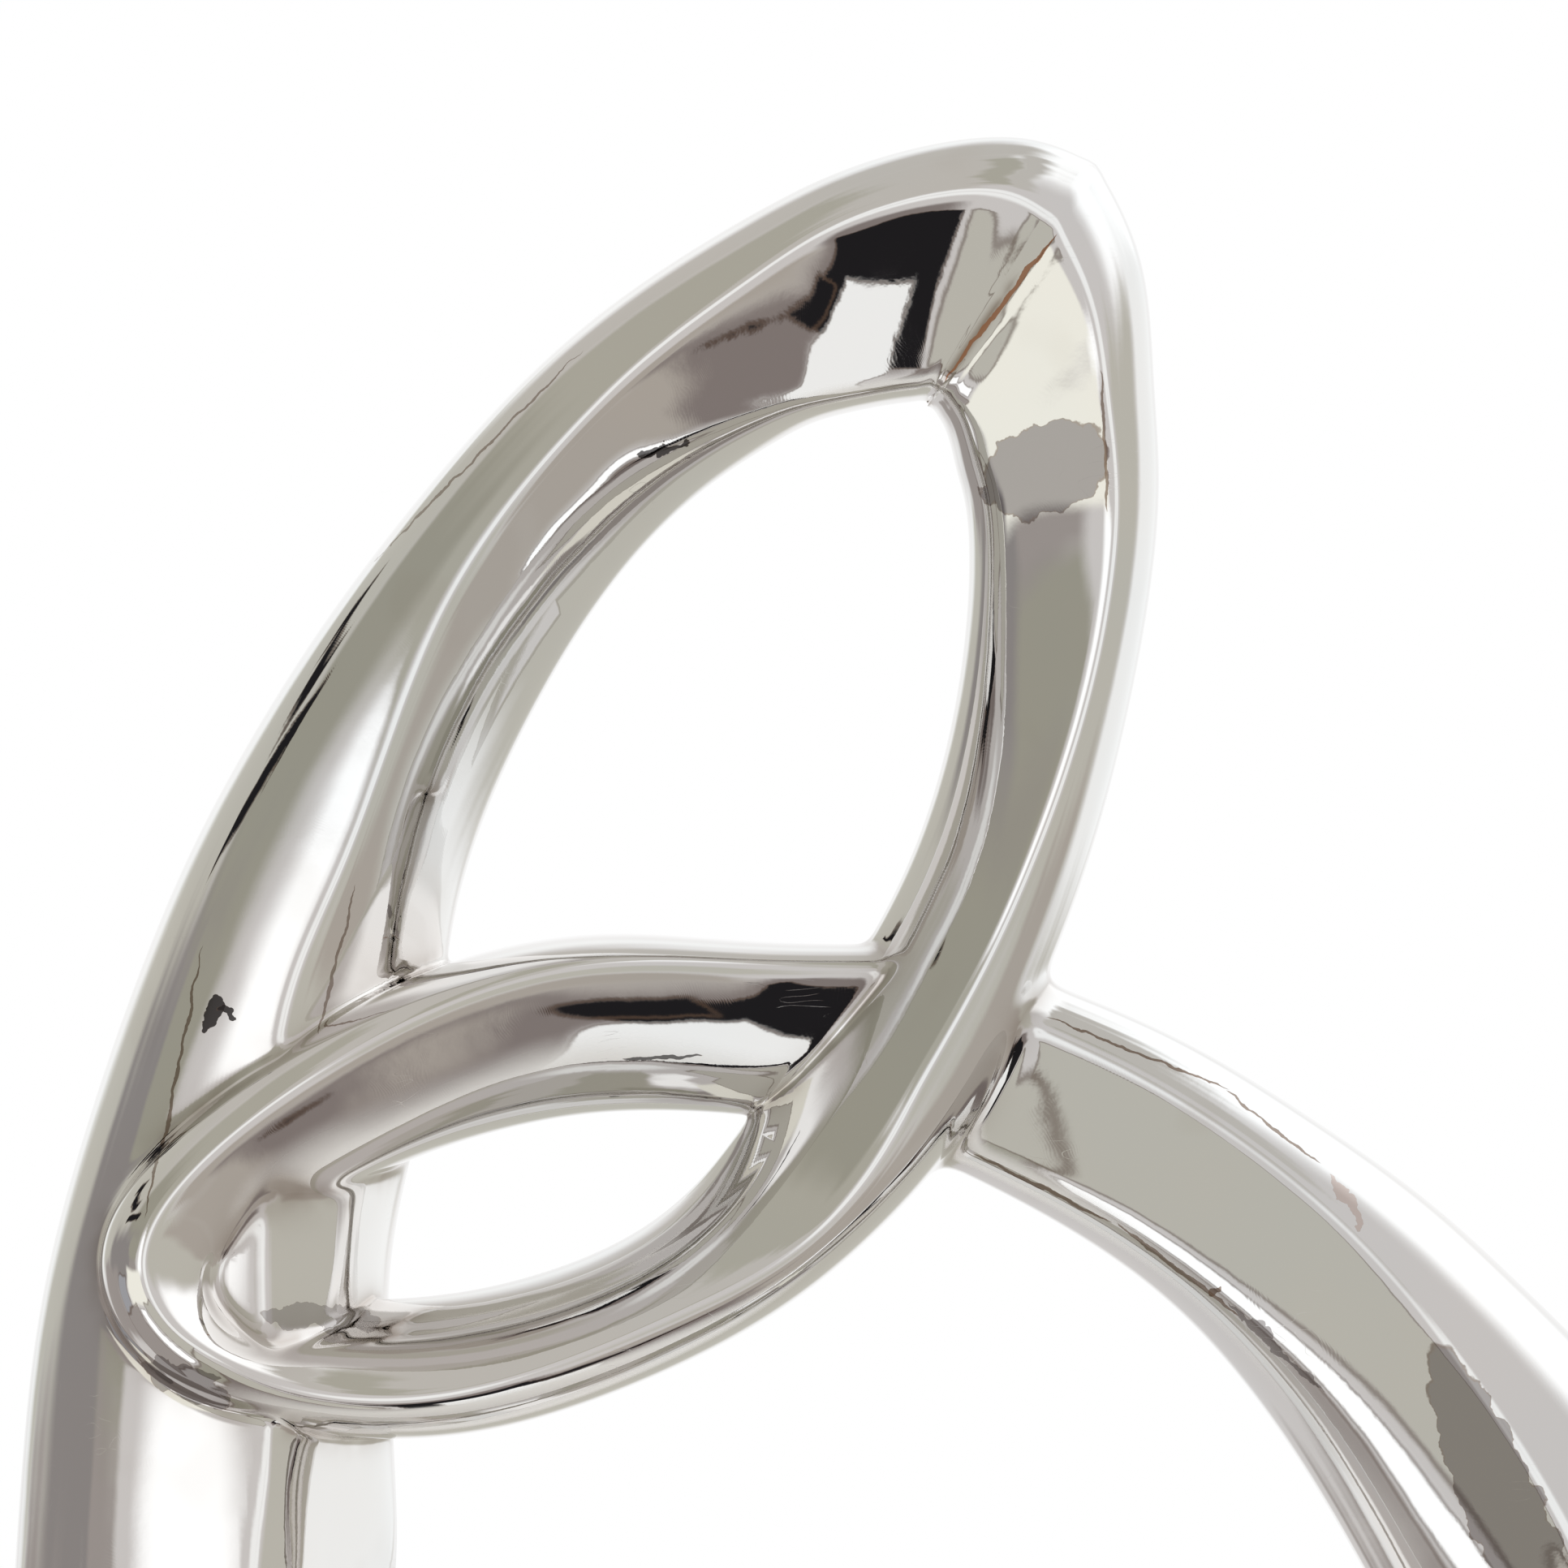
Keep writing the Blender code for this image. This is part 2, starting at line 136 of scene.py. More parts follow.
# The rings of a casting's mesh.
TRIAL_RINGS = 1500          # along a limb, to find where its rings lie close together
TRIAL_SPREAD = 41           # trial rings over which the spacing changes
CLOSER_RINGS = 1.2          # how many more rings there are near a neighbour, as a share
OUTSIDE_POINTS = 10         # of a ring, on each stretch of the section's outline
FLANK_POINTS = 26
BEVEL_POINTS = 20
INSIDE_POINTS = 8
RING_TURN = math.radians(2.5)

# The mitre, the creases and the seams.
MITRE_LEAN = math.radians(TIP.lean)
MITRE_SOFTNESS = 0.0035
MITRE_START = 0.012         # the mitre's valley runs from here to there, as seen from the tip
MITRE_LENGTH = 0.060
# the darker glaze in the mitre's valley and beside a neighbour is painted shade mixed with the brown of
# pooled glaze
MITRE_LINE = 0.0008         # how wide the darker glaze in the mitre's valley is
CREASE_WIDTH = 0.0015       # and beside a neighbour
SEAM_REACH = 0.004          # the mesh is finer this close to a seam
SKIRT = 0.0004              # a seam's edge turns inwards by this much

WAVES = (
    # height, direction, length and start of each slow wave in the casting
    (0.00010, (0.30, 0.10, 0.95), 0.061, 0.4),
    (0.00008, (0.90, 0.30, -0.30), 0.047, 2.1),
    (0.00006, (-0.50, 0.60, 0.62), 0.034, 4.0),
)

# Painted reflections on the front of the glaze, most of them dark, laid into its colour: the tone and its
# strength, the middle in X and Z, its turn in degrees, and its half length and half width.
PAINTED_REFLECTIONS = (
    ("lilac", 0.90, 0.0191, 0.3942, 24, 0.0108, 0.0076),
    ("mauve", 0.95, 0.0985, 0.2136, -67, 0.0350, 0.0064),
    ("dusk", 0.75, -0.1262, 0.2400, -22, 0.0080, 0.0030),
    ("dusk", 0.55, -0.1040, 0.2505, -6, 0.0100, 0.0020),
    ("black", 0.95, -0.1221, 0.3017, 75, 0.0032, 0.0012),
    ("black", 0.95, -0.1196, 0.3022, -12, 0.0024, 0.0006),
    ("umber", 0.80, -0.1284, 0.2906, -101, 0.0226, 0.00028),
    ("umber", 0.70, -0.1010, 0.3110, -104, 0.0130, 0.00025),
    ("umber", 0.70, -0.0776, 0.3963, 45, 0.0250, 0.00022),
    ("black", 0.90, -0.0458, 0.3977, 14, 0.0040, 0.0007),
    ("black", 0.85, -0.0461, 0.2940, 4, 0.0068, 0.00035),
    ("umber", 0.80, 0.0290, 0.3990, -88, 0.0120, 0.00030),
    ("rust", 0.90, 0.0114, 0.4218, 52, 0.0150, 0.00042),
    ("rust", 0.35, 0.0702, 0.2701, -60, 0.0055, 0.0009),
    ("umber", 0.85, 0.0350, 0.2949, -22, 0.0165, 0.00024),
    ("umber", 0.80, 0.0580, 0.2823, -38, 0.0100, 0.00022),
    ("umber", 0.80, 0.0190, 0.2715, -27, 0.0130, 0.00036),
    ("umber", 0.80, 0.0420, 0.2577, -37, 0.0130, 0.00040),
    ("dusk", 0.75, 0.0590, 0.2445, -43, 0.0110, 0.00060),
    ("umber", 0.85, 0.0478, 0.2540, 20, 0.0016, 0.00070),
)
THIN_PAINTED_REFLECTION = 0.0005          # a mark thinner than this wanders less
PAINTED_REFLECTION_WANDER = {"wide": 0.005, "thin": 0.0018}       # how far a mark's outline wanders
PAINTED_REFLECTION_WANDER_SCALE = 260.0
PAINTED_REFLECTION_EDGE = (1.03, 0.97)    # where a mark ends and where it is full, as shares of its size
PAINTED_REFLECTION_LINE = 2.4             # how strong the line round a mark is
FRONT_EDGE = 0.002          # the marks fade out this far in front of the middle plane and behind it
PAINTED_REFLECTION_COLOURS = {
    "lilac": (0.310, 0.288, 0.292),
    "mauve": (0.330, 0.305, 0.295),
    "dusk": (0.230, 0.205, 0.200),
    "umber": (0.190, 0.125, 0.085),
    "rust": (0.380, 0.170, 0.085),
    "black": (0.035, 0.030, 0.030),
}

# Patches of noise in the materials: scale, detail, where a patch begins and where it is full.
WARM_PATCHES = (14.0, 3.0, 0.35, 0.65)
RIPPLE_PATCHES = (52.0, 2.0, 0.35, 0.70)
CREASE_PATCHES = (90.0, 2.0, 0.30, 0.62)
SMUDGE_PATCHES = (34.0, 2.0, 0.60, 0.68)
SKIN_PATCHES = (85.0, 2.0, 0.56, 0.62)
SCRATCH_PATCHES = (55.0, 2.0, 0.60, 0.66)
CLAY_STAINS = (60.0, 2.0, 0.35, 0.70)

RIPPLE_SCALES = (75.0, 280.0)       # of the long ripples and of the short ones
LONG_RIPPLE = 4                     # how many times higher the long ripples are
SMUDGE_COLOUR = (0.66, 0.63, 0.60)
SKIN_LINE_SPACING = 0.00045
SKIN_LINE_EDGE = (-0.6, 0.9)
SKIN_LINE_DEPTH = 4e-7
SKIN_DIRECTION = (0.83, 0.20, 0.52)
SKIN_BEND = (0.004, 0.002, 0.004)   # how far the skin's lines bend
SKIN_BEND_SCALE = 136.0
# colour of the painted shade and pooled glaze in the creases, beside a neighbour and in the mitre's valley
CREASE_POOL_AND_SHADE_COLOUR = (0.26, 0.19, 0.14)
SPECK_COLOUR = (0.16, 0.13, 0.11)
SPECK_SPACING = 0.011
SPECK_RADIUS = 0.00030
SPECK_DEPTH = 6e-5
SPECK_SPREAD = 90.0
SPECK_CHANCE = 0.60
SCRATCH_LENGTH = 0.030
SCRATCH_SPACING = 0.0022
SCRATCH_WIDTH = 0.006               # as a share of the noise that it is cut from
SCRATCH_DEPTH = 2e-6
SCRATCH_TURN = (0.2, 0.5, 0.9)

CLAY_PALE = (0.76, 0.72, 0.66)
CLAY_STAINED = (0.66, 0.59, 0.51)
CLAY_GRIT = (0.48, 0.41, 0.35)
CLAY_GRAIN_SCALE = 900.0
CLAY_DEPTH = 0.0001
FELT_DARK = (0.016, 0.016, 0.018)
FELT_LIGHT = (0.075, 0.073, 0.078)
FELT_SCALE = 2600.0
FELT_STRETCH = (1.0, 0.35, 1.0)
FELT_DEPTH = 0.0002

DRAIN_RADIUS = 0.004
DRAIN_DEPTH = 0.020
DRAIN_SIDES = 48
FLAT_Z = 0.0023             # the ground flat lies 0.3 mm over the pads
PAD_SIDES = 64
PAD_EDGE_SHARE = 0.3        # how round a pad's edges are, as a share of its thickness
PAD_PLACES = ((-0.038, -0.0145), (0.038, -0.0145), (-0.038, 0.0145), (0.038, 0.0145))


def soft_max(a, b, softness):
    """The larger of two distances, with the corner between them rounded."""
    h = np.maximum(softness - np.abs(a - b), 0) / softness
    return np.maximum(a, b) + h ** 3 * softness / 6


def soft_min(a, b, softness):
    """The smaller of two distances, with a fillet in the corner between them."""
    return -soft_max(-a, -b, softness)


def smooth_step(t):
    t = np.clip(t, 0, 1)
    return t ** 3 * (t * (6 * t - 15) + 10)


def flank_corner(outer, half):
    """The outer flank's soft shoulder: how far in from the silhouette it lies, and its half depth."""
    return FLANK_SIDE_SHARE * outer ** 2 / (outer + FLANK_SIDE_WIDTH), FLANK_DEPTH_SHARE * half


def off_section(points, s):
    """How far the points lie out along their section line and off to its side."""
    dx, dz = points[:, 0] - s.x, points[:, 2] - s.z
    c, n = np.cos(s.lean), np.sin(s.lean)
    return dx * c + dz * n, dx * n - dz * c


class Limb:
    """A stretch of ribbon: its sections along a spline, and its skin as a distance field."""

    def __init__(self, ribbon, first, last):
        """Fits a natural cubic spline through the whole ribbon and takes one stretch of it."""
        rows = np.array(ribbon, float)
        rows[:, 2] = np.radians(rows[:, 2])
        self.knots = np.concatenate([[0], np.cumsum(np.hypot(*np.diff(rows[:, :2], axis=0).T) ** 0.5)])
        self.first, self.last = self.knots[first], self.knots[last]
        count = len(rows)
        step = np.diff(self.knots)
        slope = np.diff(rows, axis=0) / step[:, None]
        matrix = np.eye(count)
        right = np.zeros_like(rows)
        for i in range(1, count - 1):
            matrix[i, i - 1:i + 2] = step[i - 1], 2 * (step[i - 1] + step[i]), step[i]
            right[i] = 6 * (slope[i] - slope[i - 1])
        bend = np.linalg.solve(matrix, right)
        step = step[:, None]
        self.terms = (rows[:-1], slope - step * (2 * bend[:-1] + bend[1:]) / 6, bend[:-1] / 2,
                      (bend[1:] - bend[:-1]) / (6 * step))

    def at(self, places):
        """The sections at places along the limb, with their lean in radians, and how fast they change."""
        k = np.clip(np.searchsorted(self.knots, places, side="right") - 1, 0, len(self.knots) - 2)
        t = (places - self.knots[k])[:, None]
        a, b, c, d = (term[k] for term in self.terms)
        values = a + t * (b + t * (c + t * d))
        rates = b + t * (2 * c + t * 3 * d)
        return Section(*values.T), Section(*rates.T)

    def locate(self, points, places, reach=0.0, rounds=4):
        """The places whose section line runs through the points, starting from a guess."""
        for _ in range(rounds):
            s, rate = self.at(places)
            along, across = off_section(points, s)
            turn = -rate.x * np.sin(s.lean) + rate.z * np.cos(s.lean) + rate.lean * along
            turn = np.where(np.abs(turn) < LEAST_TURN, LEAST_TURN * np.where(turn < 0, -1, 1), turn)
            places = places - np.clip(across / turn, -LONGEST_STEP, LONGEST_STEP)
            places = np.clip(places, self.first - reach, self.last + reach)
        return places

    def nearest(self, points):
        """A first guess for locate: the section line that passes closest, and its distance."""
        stations = np.arange(self.first, self.last, STATION_STEP)
        s, _ = self.at(stations)
        c, n = np.cos(s.lean), np.sin(s.lean)
        best = np.full(len(points), np.inf)
        place = np.zeros(len(points))
        for i in range(len(stations)):
            dx, dz = points[:, 0] - s.x[i], points[:, 2] - s.z[i]
            along = np.clip(dx * c[i] + dz * n[i], -s.bevel[i] - s.side[i], s.outer[i])
            gap = np.hypot(dx - along * c[i], dz - along * n[i])
            closer = gap < best
            best[closer] = gap[closer]
            place[closer] = stations[i]
        return place, best

    def bulged(self, above, away, fall, width, bulge):
        """Distance to a slope that starts gently at the ridge and ends steeply at its shoulder."""
        share = np.clip(away / width, 0, BULGE_REACH)
        drop = (1 - bulge + bulge * share) * away
        steep = fall * (1 - bulge + 2 * bulge * share)
        return (above + fall * drop) / np.hypot(1, steep)

    def section_distance(self, out, deep, s):
        """Distance to the ridged section: out along the section line, deep from its middle plane."""
        outer, bevel, side, half, shoulder = s[3:8]
        deep = np.abs(deep)
        flank_side, flank_deep = flank_corner(outer, half)
        flank_width = outer - flank_side
        flank = self.bulged(deep - half, out, (half - flank_deep) / flank_width, flank_width, FLANK_BULGE)
        slant = self.bulged(deep - half, -out, (half - shoulder) / bevel, bevel, BEVEL_BULGE)
        lean = 2 * flank_side * deep / flank_deep ** 2
        outside = (out - outer + flank_side * (deep / flank_deep) ** 2) / np.hypot(1, lean)
        lean = 2 * side * deep / shoulder ** 2
        inside = (-out - bevel - side + side * (deep / shoulder) ** 2) / np.hypot(1, lean)
        top = soft_max(flank, slant, RIDGE_SOFTNESS)
        return soft_max(soft_max(top, outside, OUTER_SOFTNESS), inside, INNER_SOFTNESS)

    def distance(self, points, places, reach=0.0, rounds=1):
        """Distance from the points to the limb's skin, below zero inside."""
        s, _ = self.at(self.locate(points, places, reach, rounds))
        along, across = off_section(points, s)
        value = self.section_distance(along, points[:, 1] - s.back, s)
        past = np.abs(across)
        return np.where(past > PAST_END, np.maximum(value, past), value)


COLUMN = Limb(MAIN_RIBBON, 0, 11)
FOOT = Limb(MAIN_RIBBON, 11, 13)
ARCH = Limb(MAIN_RIBBON, 13, len(MAIN_RIBBON) - 1)
ARM = Limb(LEAF_RIBBON, 0, 9)
EYE = Limb(LEAF_RIBBON, 9, len(LEAF_RIBBON) - 1)
ARM_SEAT = Limb(LEAF_RIBBON, 0, 8)      # the arm without the stretch that runs on into the eye
STRAND = Limb(LEAF_RIBBON, 14, len(LEAF_RIBBON) - 1)


def from_tip(points):
    return np.hypot(points[:, 0] - TIP.x, points[:, 2] - TIP.z)


def waves(points):
    """The casting's slight unevenness, as a height over its skin."""
    height = np.zeros(len(points))
    for size, direction, length, start in WAVES:
        height += size * np.sin(points @ np.array(direction) * (2 * math.pi / length) + start)
    return height


class Skin:
    """A casting's skin, melted into the limbs that it meets."""

    def __init__(self, limb, fillets=(), mitre=None, side=0):
        self.limb = limb
        self.fillets = fillets          # each neighbour with the softness of its fillet
        self.mitre = mitre              # the limb beyond the tip's mitre
        self.side = side                # and this limb's side of it

    def look_around(self, points, places):
        """Notes where the points lie along this limb and along each neighbour."""
        self.places = self.limb.locate(points, places, OWN_REACH)
        self.near = []
        for neighbour, _ in self.fillets:
            place, gap = neighbour.nearest(points)
            near = np.flatnonzero(gap < FAR)
            self.near.append((near, neighbour.locate(points[near], place[near])))

    def clearance(self, points):
        """Distance to the nearest neighbour's own skin."""
        least = np.full(len(points), FAR)
        for (neighbour, _), (near, guess) in zip(self.fillets, self.near):
            least[near] = np.minimum(least[near], neighbour.distance(points[near], guess))
        return least

    def past_mitre(self, points):
        """How far the points lie on this limb's side of the tip's mitre."""
        across = (TIP.x - points[:, 0]) * math.sin(MITRE_LEAN) + (points[:, 2] - TIP.z) * math.cos(MITRE_LEAN)
        return self.side * across

    def own(self, points):
        """Distance to this casting's skin alone."""
        value = self.limb.distance(points, self.places, OWN_REACH)
        if self.mitre:
            past = self.past_mitre(points)
            near = np.flatnonzero((np.abs(past) < MITRE_SOFTNESS) & (from_tip(points) < MITRE_LENGTH))
            beyond = self.mitre.distance(points[near], np.zeros(len(near)), OWN_REACH, 4)
            share = smooth_step(0.5 + 0.5 * past[near] / MITRE_SOFTNESS)
            value[near] = value[near] * share + beyond * (1 - share)
        return value

    def melted(self, points):
        """Distance to the finished skin, with its fillets and its waves."""
        value = self.own(points)
        for (neighbour, softness), (near, guess) in zip(self.fillets, self.near):
            value[near] = soft_min(value[near], neighbour.distance(points[near], guess), softness)
        return value - waves(points)

    def slope(self, points, field):
        total = sum(corner * field(points + GRADIENT_STEP * corner)[:, None] for corner in GRADIENT_CORNERS)
        return total / (len(GRADIENT_CORNERS) * GRADIENT_STEP)

    def settle(self, points, field, rounds):
        """Moves the points onto the field's skin."""
        for _ in range(rounds):
            self.places = self.limb.locate(points, self.places, OWN_REACH)
            slope = self.slope(points, field)
            move = field(points) / np.maximum(np.sum(slope * slope, axis=1), FLATTEST_SLOPE)
            points = points - slope * np.clip(move, -LONGEST_MOVE, LONGEST_MOVE)[:, None]
        return points


def ring_places(skin, spacing, turning):
    """Places of the rings: close together where the ribbon bends, and near a neighbour."""
    limb = skin.limb
    fine = np.linspace(limb.first, limb.last, TRIAL_RINGS)
    s, _ = limb.at(fine)
    c, n = np.cos(s.lean), np.sin(s.lean)
    travel = np.hypot(np.diff(s.x), np.diff(s.z)) / spacing
    turn = np.abs(np.diff(s.lean)) / turning
    close = np.zeros(len(fine))
    for neighbour, _ in skin.fillets:
        for share in (-1, -0.5, 0, 0.5, 1):
            out = np.where(share < 0, share * (s.bevel + s.side), share * s.outer)
            line = np.stack([s.x + out * c, s.back, s.z + out * n], axis=1)
            close = np.maximum(close, neighbour.nearest(line)[1] < FAR / 2)
    close = np.convolve(close, np.ones(TRIAL_SPREAD) / TRIAL_SPREAD, mode="same")[1:]
    done = np.concatenate([[0], np.cumsum(np.hypot(travel, turn) * (1 + CLOSER_RINGS * close))])
    return np.interp(np.linspace(0, done[-1], math.ceil(done[-1]) + 1), done, fine)


def ring_points(limb, places):
    """The sharp section's outline at each place, with its points closer together at the corners."""
    s = Section(*(value[:, None] for value in limb.at(places)[0]))
    outer, bevel, side, half, shoulder = s[3:8]
    flank_side, flank_deep = flank_corner(outer, half)

    def both_ends(count):
        return 0.5 - 0.5 * np.cos(math.pi * np.arange(count) / count)

    q = np.sin(math.pi / 2 * np.arange(OUTSIDE_POINTS) / OUTSIDE_POINTS)
    out, deep = [outer - flank_side * q * q], [flank_deep * q]
    q = both_ends(FLANK_POINTS)
    out.append((outer - flank_side) * (1 - q))
    deep.append(flank_deep + (half - flank_deep) * q)
    q = both_ends(BEVEL_POINTS)
    out.append(-bevel * q)
    deep.append(half - (half - shoulder) * q)
    q = np.cos(math.pi / 2 * np.arange(INSIDE_POINTS + 1) / INSIDE_POINTS)
    out.append(-bevel - side * (1 - q * q))
    deep.append(shoulder * q)
    out, deep = np.hstack(out), np.hstack(deep)
    out = np.hstack([out, out[:, -2:0:-1]])
    deep = np.hstack([-deep, deep[:, -2:0:-1]])
    return np.stack([s.x + out * np.cos(s.lean), deep + s.back, s.z + out * np.sin(s.lean)], axis=2)


def coordinates(bm):
    return np.array([v.co for v in bm.verts], float).reshape(-1, 3)


def write_vertices(bm, points, normals, creases):
    """Moves the vertices and notes each one's normal and how close a crease is."""
    facing = bm.verts.layers.float_vector["facing"]
    crease = bm.verts.layers.float["crease"]
    for v, point, normal, near in zip(bm.verts, points, normals, creases):
        v.co = point
        v[facing] = normal
        v[crease] = near


def grid_mesh(grid):
    """A tube of quads from rings of points, with layers for the vertices' normals and creases."""
    rings, around = grid.shape[:2]
    i, j = np.meshgrid(np.arange(rings - 1), np.arange(around), indexing="ij")
    a, b = i * around + j, i * around + (j + 1) % around
    quads = np.stack([a, b, b + around, a + around], axis=2).reshape(-1, 4)
    mesh = bpy.data.meshes.new("tube")
    mesh.from_pydata(grid.reshape(-1, 3).tolist(), [], quads.tolist())
    bm = bmesh.new()
    bm.verts.layers.float_vector.new("facing")
    bm.verts.layers.float.new("crease")
    bm.from_mesh(mesh)
    bpy.data.meshes.remove(mesh)
    return bm


def refine_seam(bm, clear):
    """Halves the edges near a neighbour, so that the fillet there comes out smooth."""
    bm.verts.index_update()
    near = [e for e in bm.edges if all(abs(clear[v.index]) < SEAM_REACH for v in e.verts)]
    bmesh.ops.subdivide_edges(bm, edges=near, cuts=1, use_grid_fill=True)


def cut_at_neighbours(bm, places, clear):
    """Cuts the skin where a neighbour's begins, drops what lies inside it and returns the new places."""
    bm.verts.ensure_lookup_table()
    place = dict(zip(bm.verts, places))
    clear = dict(zip(bm.verts, clear))
    made = []
    for edge in list(bm.edges):
        a, b = edge.verts
        if clear[a] * clear[b] < 0:
            share = clear[a] / (clear[a] - clear[b])
            _, vertex = bmesh.utils.edge_split(edge, a, share)
            clear[vertex] = 0.0
            place[vertex] = place[a] + share * (place[b] - place[a])
            made.append(vertex)
    bmesh.ops.connect_verts(bm, verts=made)
    gone = [f for f in bm.faces if sum(clear[v] for v in f.verts) < 0]
    bmesh.ops.delete(bm, geom=gone, context="FACES")
    return np.array([place[v] for v in bm.verts]), [v for v in made if v.is_valid]


def add_skirt(bm, seam):
    """Turns the seam's edge inwards, so that no light passes between two castings."""
    facing = bm.verts.layers.float_vector["facing"]
    lower = {}
    for vertex in seam:
        lower[vertex] = bm.verts.new(vertex.co - SKIRT * vertex[facing])
        lower[vertex][facing] = vertex[facing]
    for edge in [e for e in bm.edges if e.is_boundary and all(v in lower for v in e.verts)]:
        loop = edge.link_loops[0]
        a, b = loop.vert, loop.link_loop_next.vert
        bm.faces.new((b, a, lower[a], lower[b]))


def finish_skin(bm, skin, places, rounds):
    """Settles the vertices on the melted skin and notes their normals and how close a crease is."""
    points = coordinates(bm)
    skin.look_around(points, places)
    points = skin.settle(points, skin.melted, rounds)
    skin.places = skin.limb.locate(points, skin.places, OWN_REACH)
    slope = skin.slope(points, skin.melted)
    normals = slope / np.linalg.norm(slope, axis=1)[:, None]
    # how close a crease is: the mask for the painted shade and pooled glaze there
    crease = np.exp(-np.maximum(skin.clearance(points), 0) / CREASE_WIDTH)
    if skin.mitre:
        away = from_tip(points)
        valley = np.exp(-(skin.past_mitre(points) / MITRE_LINE) ** 2)
        crease = np.maximum(crease, valley * (away > MITRE_START) * (away < MITRE_LENGTH))
    write_vertices(bm, points, normals, crease)
    bm.verts.index_update()
    bm.normal_update()
    if sum(f.normal.dot(normals[f.verts[0].index]) for f in bm.faces) < 0:
        bmesh.ops.reverse_faces(bm, faces=bm.faces)


def skin_mesh(skin, spacing, turning):
    """The casting's skin as a bmesh."""
    places = ring_places(skin, spacing, turning)
    grid = ring_points(skin.limb, places)
    places = np.repeat(places, grid.shape[1])
    skin.look_around(grid.reshape(-1, 3), places)
    bm = grid_mesh(skin.settle(grid.reshape(-1, 3), skin.own, FIRST_ROUNDS).reshape(grid.shape))
    if not skin.fillets:
        finish_skin(bm, skin, skin.places, MORE_ROUNDS)
        return bm
    points = coordinates(bm)
    skin.look_around(points, skin.places)
    refine_seam(bm, skin.clearance(points))
    points = coordinates(bm)
    skin.look_around(points, skin.limb.nearest(points)[0])
    points = skin.settle(points, skin.own, MORE_ROUNDS)
    for vertex, point in zip(bm.verts, points):
        vertex.co = point
    places, seam = cut_at_neighbours(bm, skin.places, skin.clearance(points))
    finish_skin(bm, skin, places, FIRST_ROUNDS)
    add_skirt(bm, seam)
    return bm


def ring_of(bm, radius, height, count, facing):
    """A ring of vertices that face one way, or the middle where no way is given."""
    layer = bm.verts.layers.float_vector["facing"]
    made = []
    for turn in np.arange(count) * (2 * math.pi / count):
        out = (math.cos(turn), math.sin(turn), 0)
        made.append(bm.verts.new((radius * out[0], radius * out[1], height)))
        made[-1][layer] = facing or (-out[0], -out[1], 0)
    return made


def join_loop(bm, loop):
    return [bm.edges.new((a, b)) for a, b in zip(loop, loop[1:] + loop[:1])]


def grind_foot(bm, skin):
    """Grinds the foot's standing face flat, down to the bare clay, and opens the drain hole in it."""
    below = (0, 0, -1)
    cut = bmesh.ops.bisect_plane(bm, geom=bm.verts[:] + bm.edges[:] + bm.faces[:], plane_co=(0, 0, FLAT_Z),
                                 plane_no=below, clear_outer=True)["geom_cut"]
    finish_skin(bm, skin, skin.limb.nearest(coordinates(bm))[0], 0)
    layer = bm.verts.layers.float_vector["facing"]
    twins = {}
    edges = []
    for edge in [g for g in cut if isinstance(g, bmesh.types.BMEdge)]:
        for v in edge.verts:
            if v not in twins:
                twins[v] = bm.verts.new(v.co)
                twins[v][layer] = below
        edges.append(bm.edges.new([twins[v] for v in edge.verts]))
    rim = ring_of(bm, DRAIN_RADIUS, FLAT_Z, DRAIN_SIDES, below)
    flat = bmesh.ops.triangle_fill(bm, use_beauty=True, edges=edges + join_loop(bm, rim), normal=below)
    clay = [g for g in flat["geom"] if isinstance(g, bmesh.types.BMFace)]
    top = ring_of(bm, DRAIN_RADIUS, FLAT_Z + DRAIN_DEPTH, DRAIN_SIDES, None)
    bottom = ring_of(bm, DRAIN_RADIUS, FLAT_Z, DRAIN_SIDES, None)
    for a, b, c, d in zip(bottom, bottom[1:] + bottom[:1], top[1:] + top[:1], top):
        clay.append(bm.faces.new((a, d, c, b)))
    end = ring_of(bm, DRAIN_RADIUS, FLAT_Z + DRAIN_DEPTH, DRAIN_SIDES, below)
    clay.append(bm.faces.new(end[::-1]))
    for face in clay:
        face.material_index = 1


def new_object(name, bm, *materials):
    """An object from a bmesh, which takes the normals noted in its facing layer."""
    mesh = bpy.data.meshes.new(name)
    bm.to_mesh(mesh)
    bm.free()
    for material in materials:
        mesh.materials.append(material)
    mesh.shade_smooth()
    facing = mesh.attributes.get("facing")
    if facing:
        normals = np.zeros(len(mesh.vertices) * 3, np.float32)
        facing.data.foreach_get("vector", normals)
        mesh.normals_split_custom_set_from_vertices(normals.reshape(-1, 3))
        mesh.attributes.remove(mesh.attributes["facing"])
    thing = bpy.data.objects.new(name, mesh)
    bpy.context.scene.collection.objects.link(thing)
    return thing


def take_place(thing, node):
    """The piece stands in for its solid and belongs to the one body."""
    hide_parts(node)
    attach(thing, "root")


def casting_mesh(skin):
    spacing = bpy.context.scene.loop_castings.ring_spacing
    return skin_mesh(skin, spacing, RING_TURN)


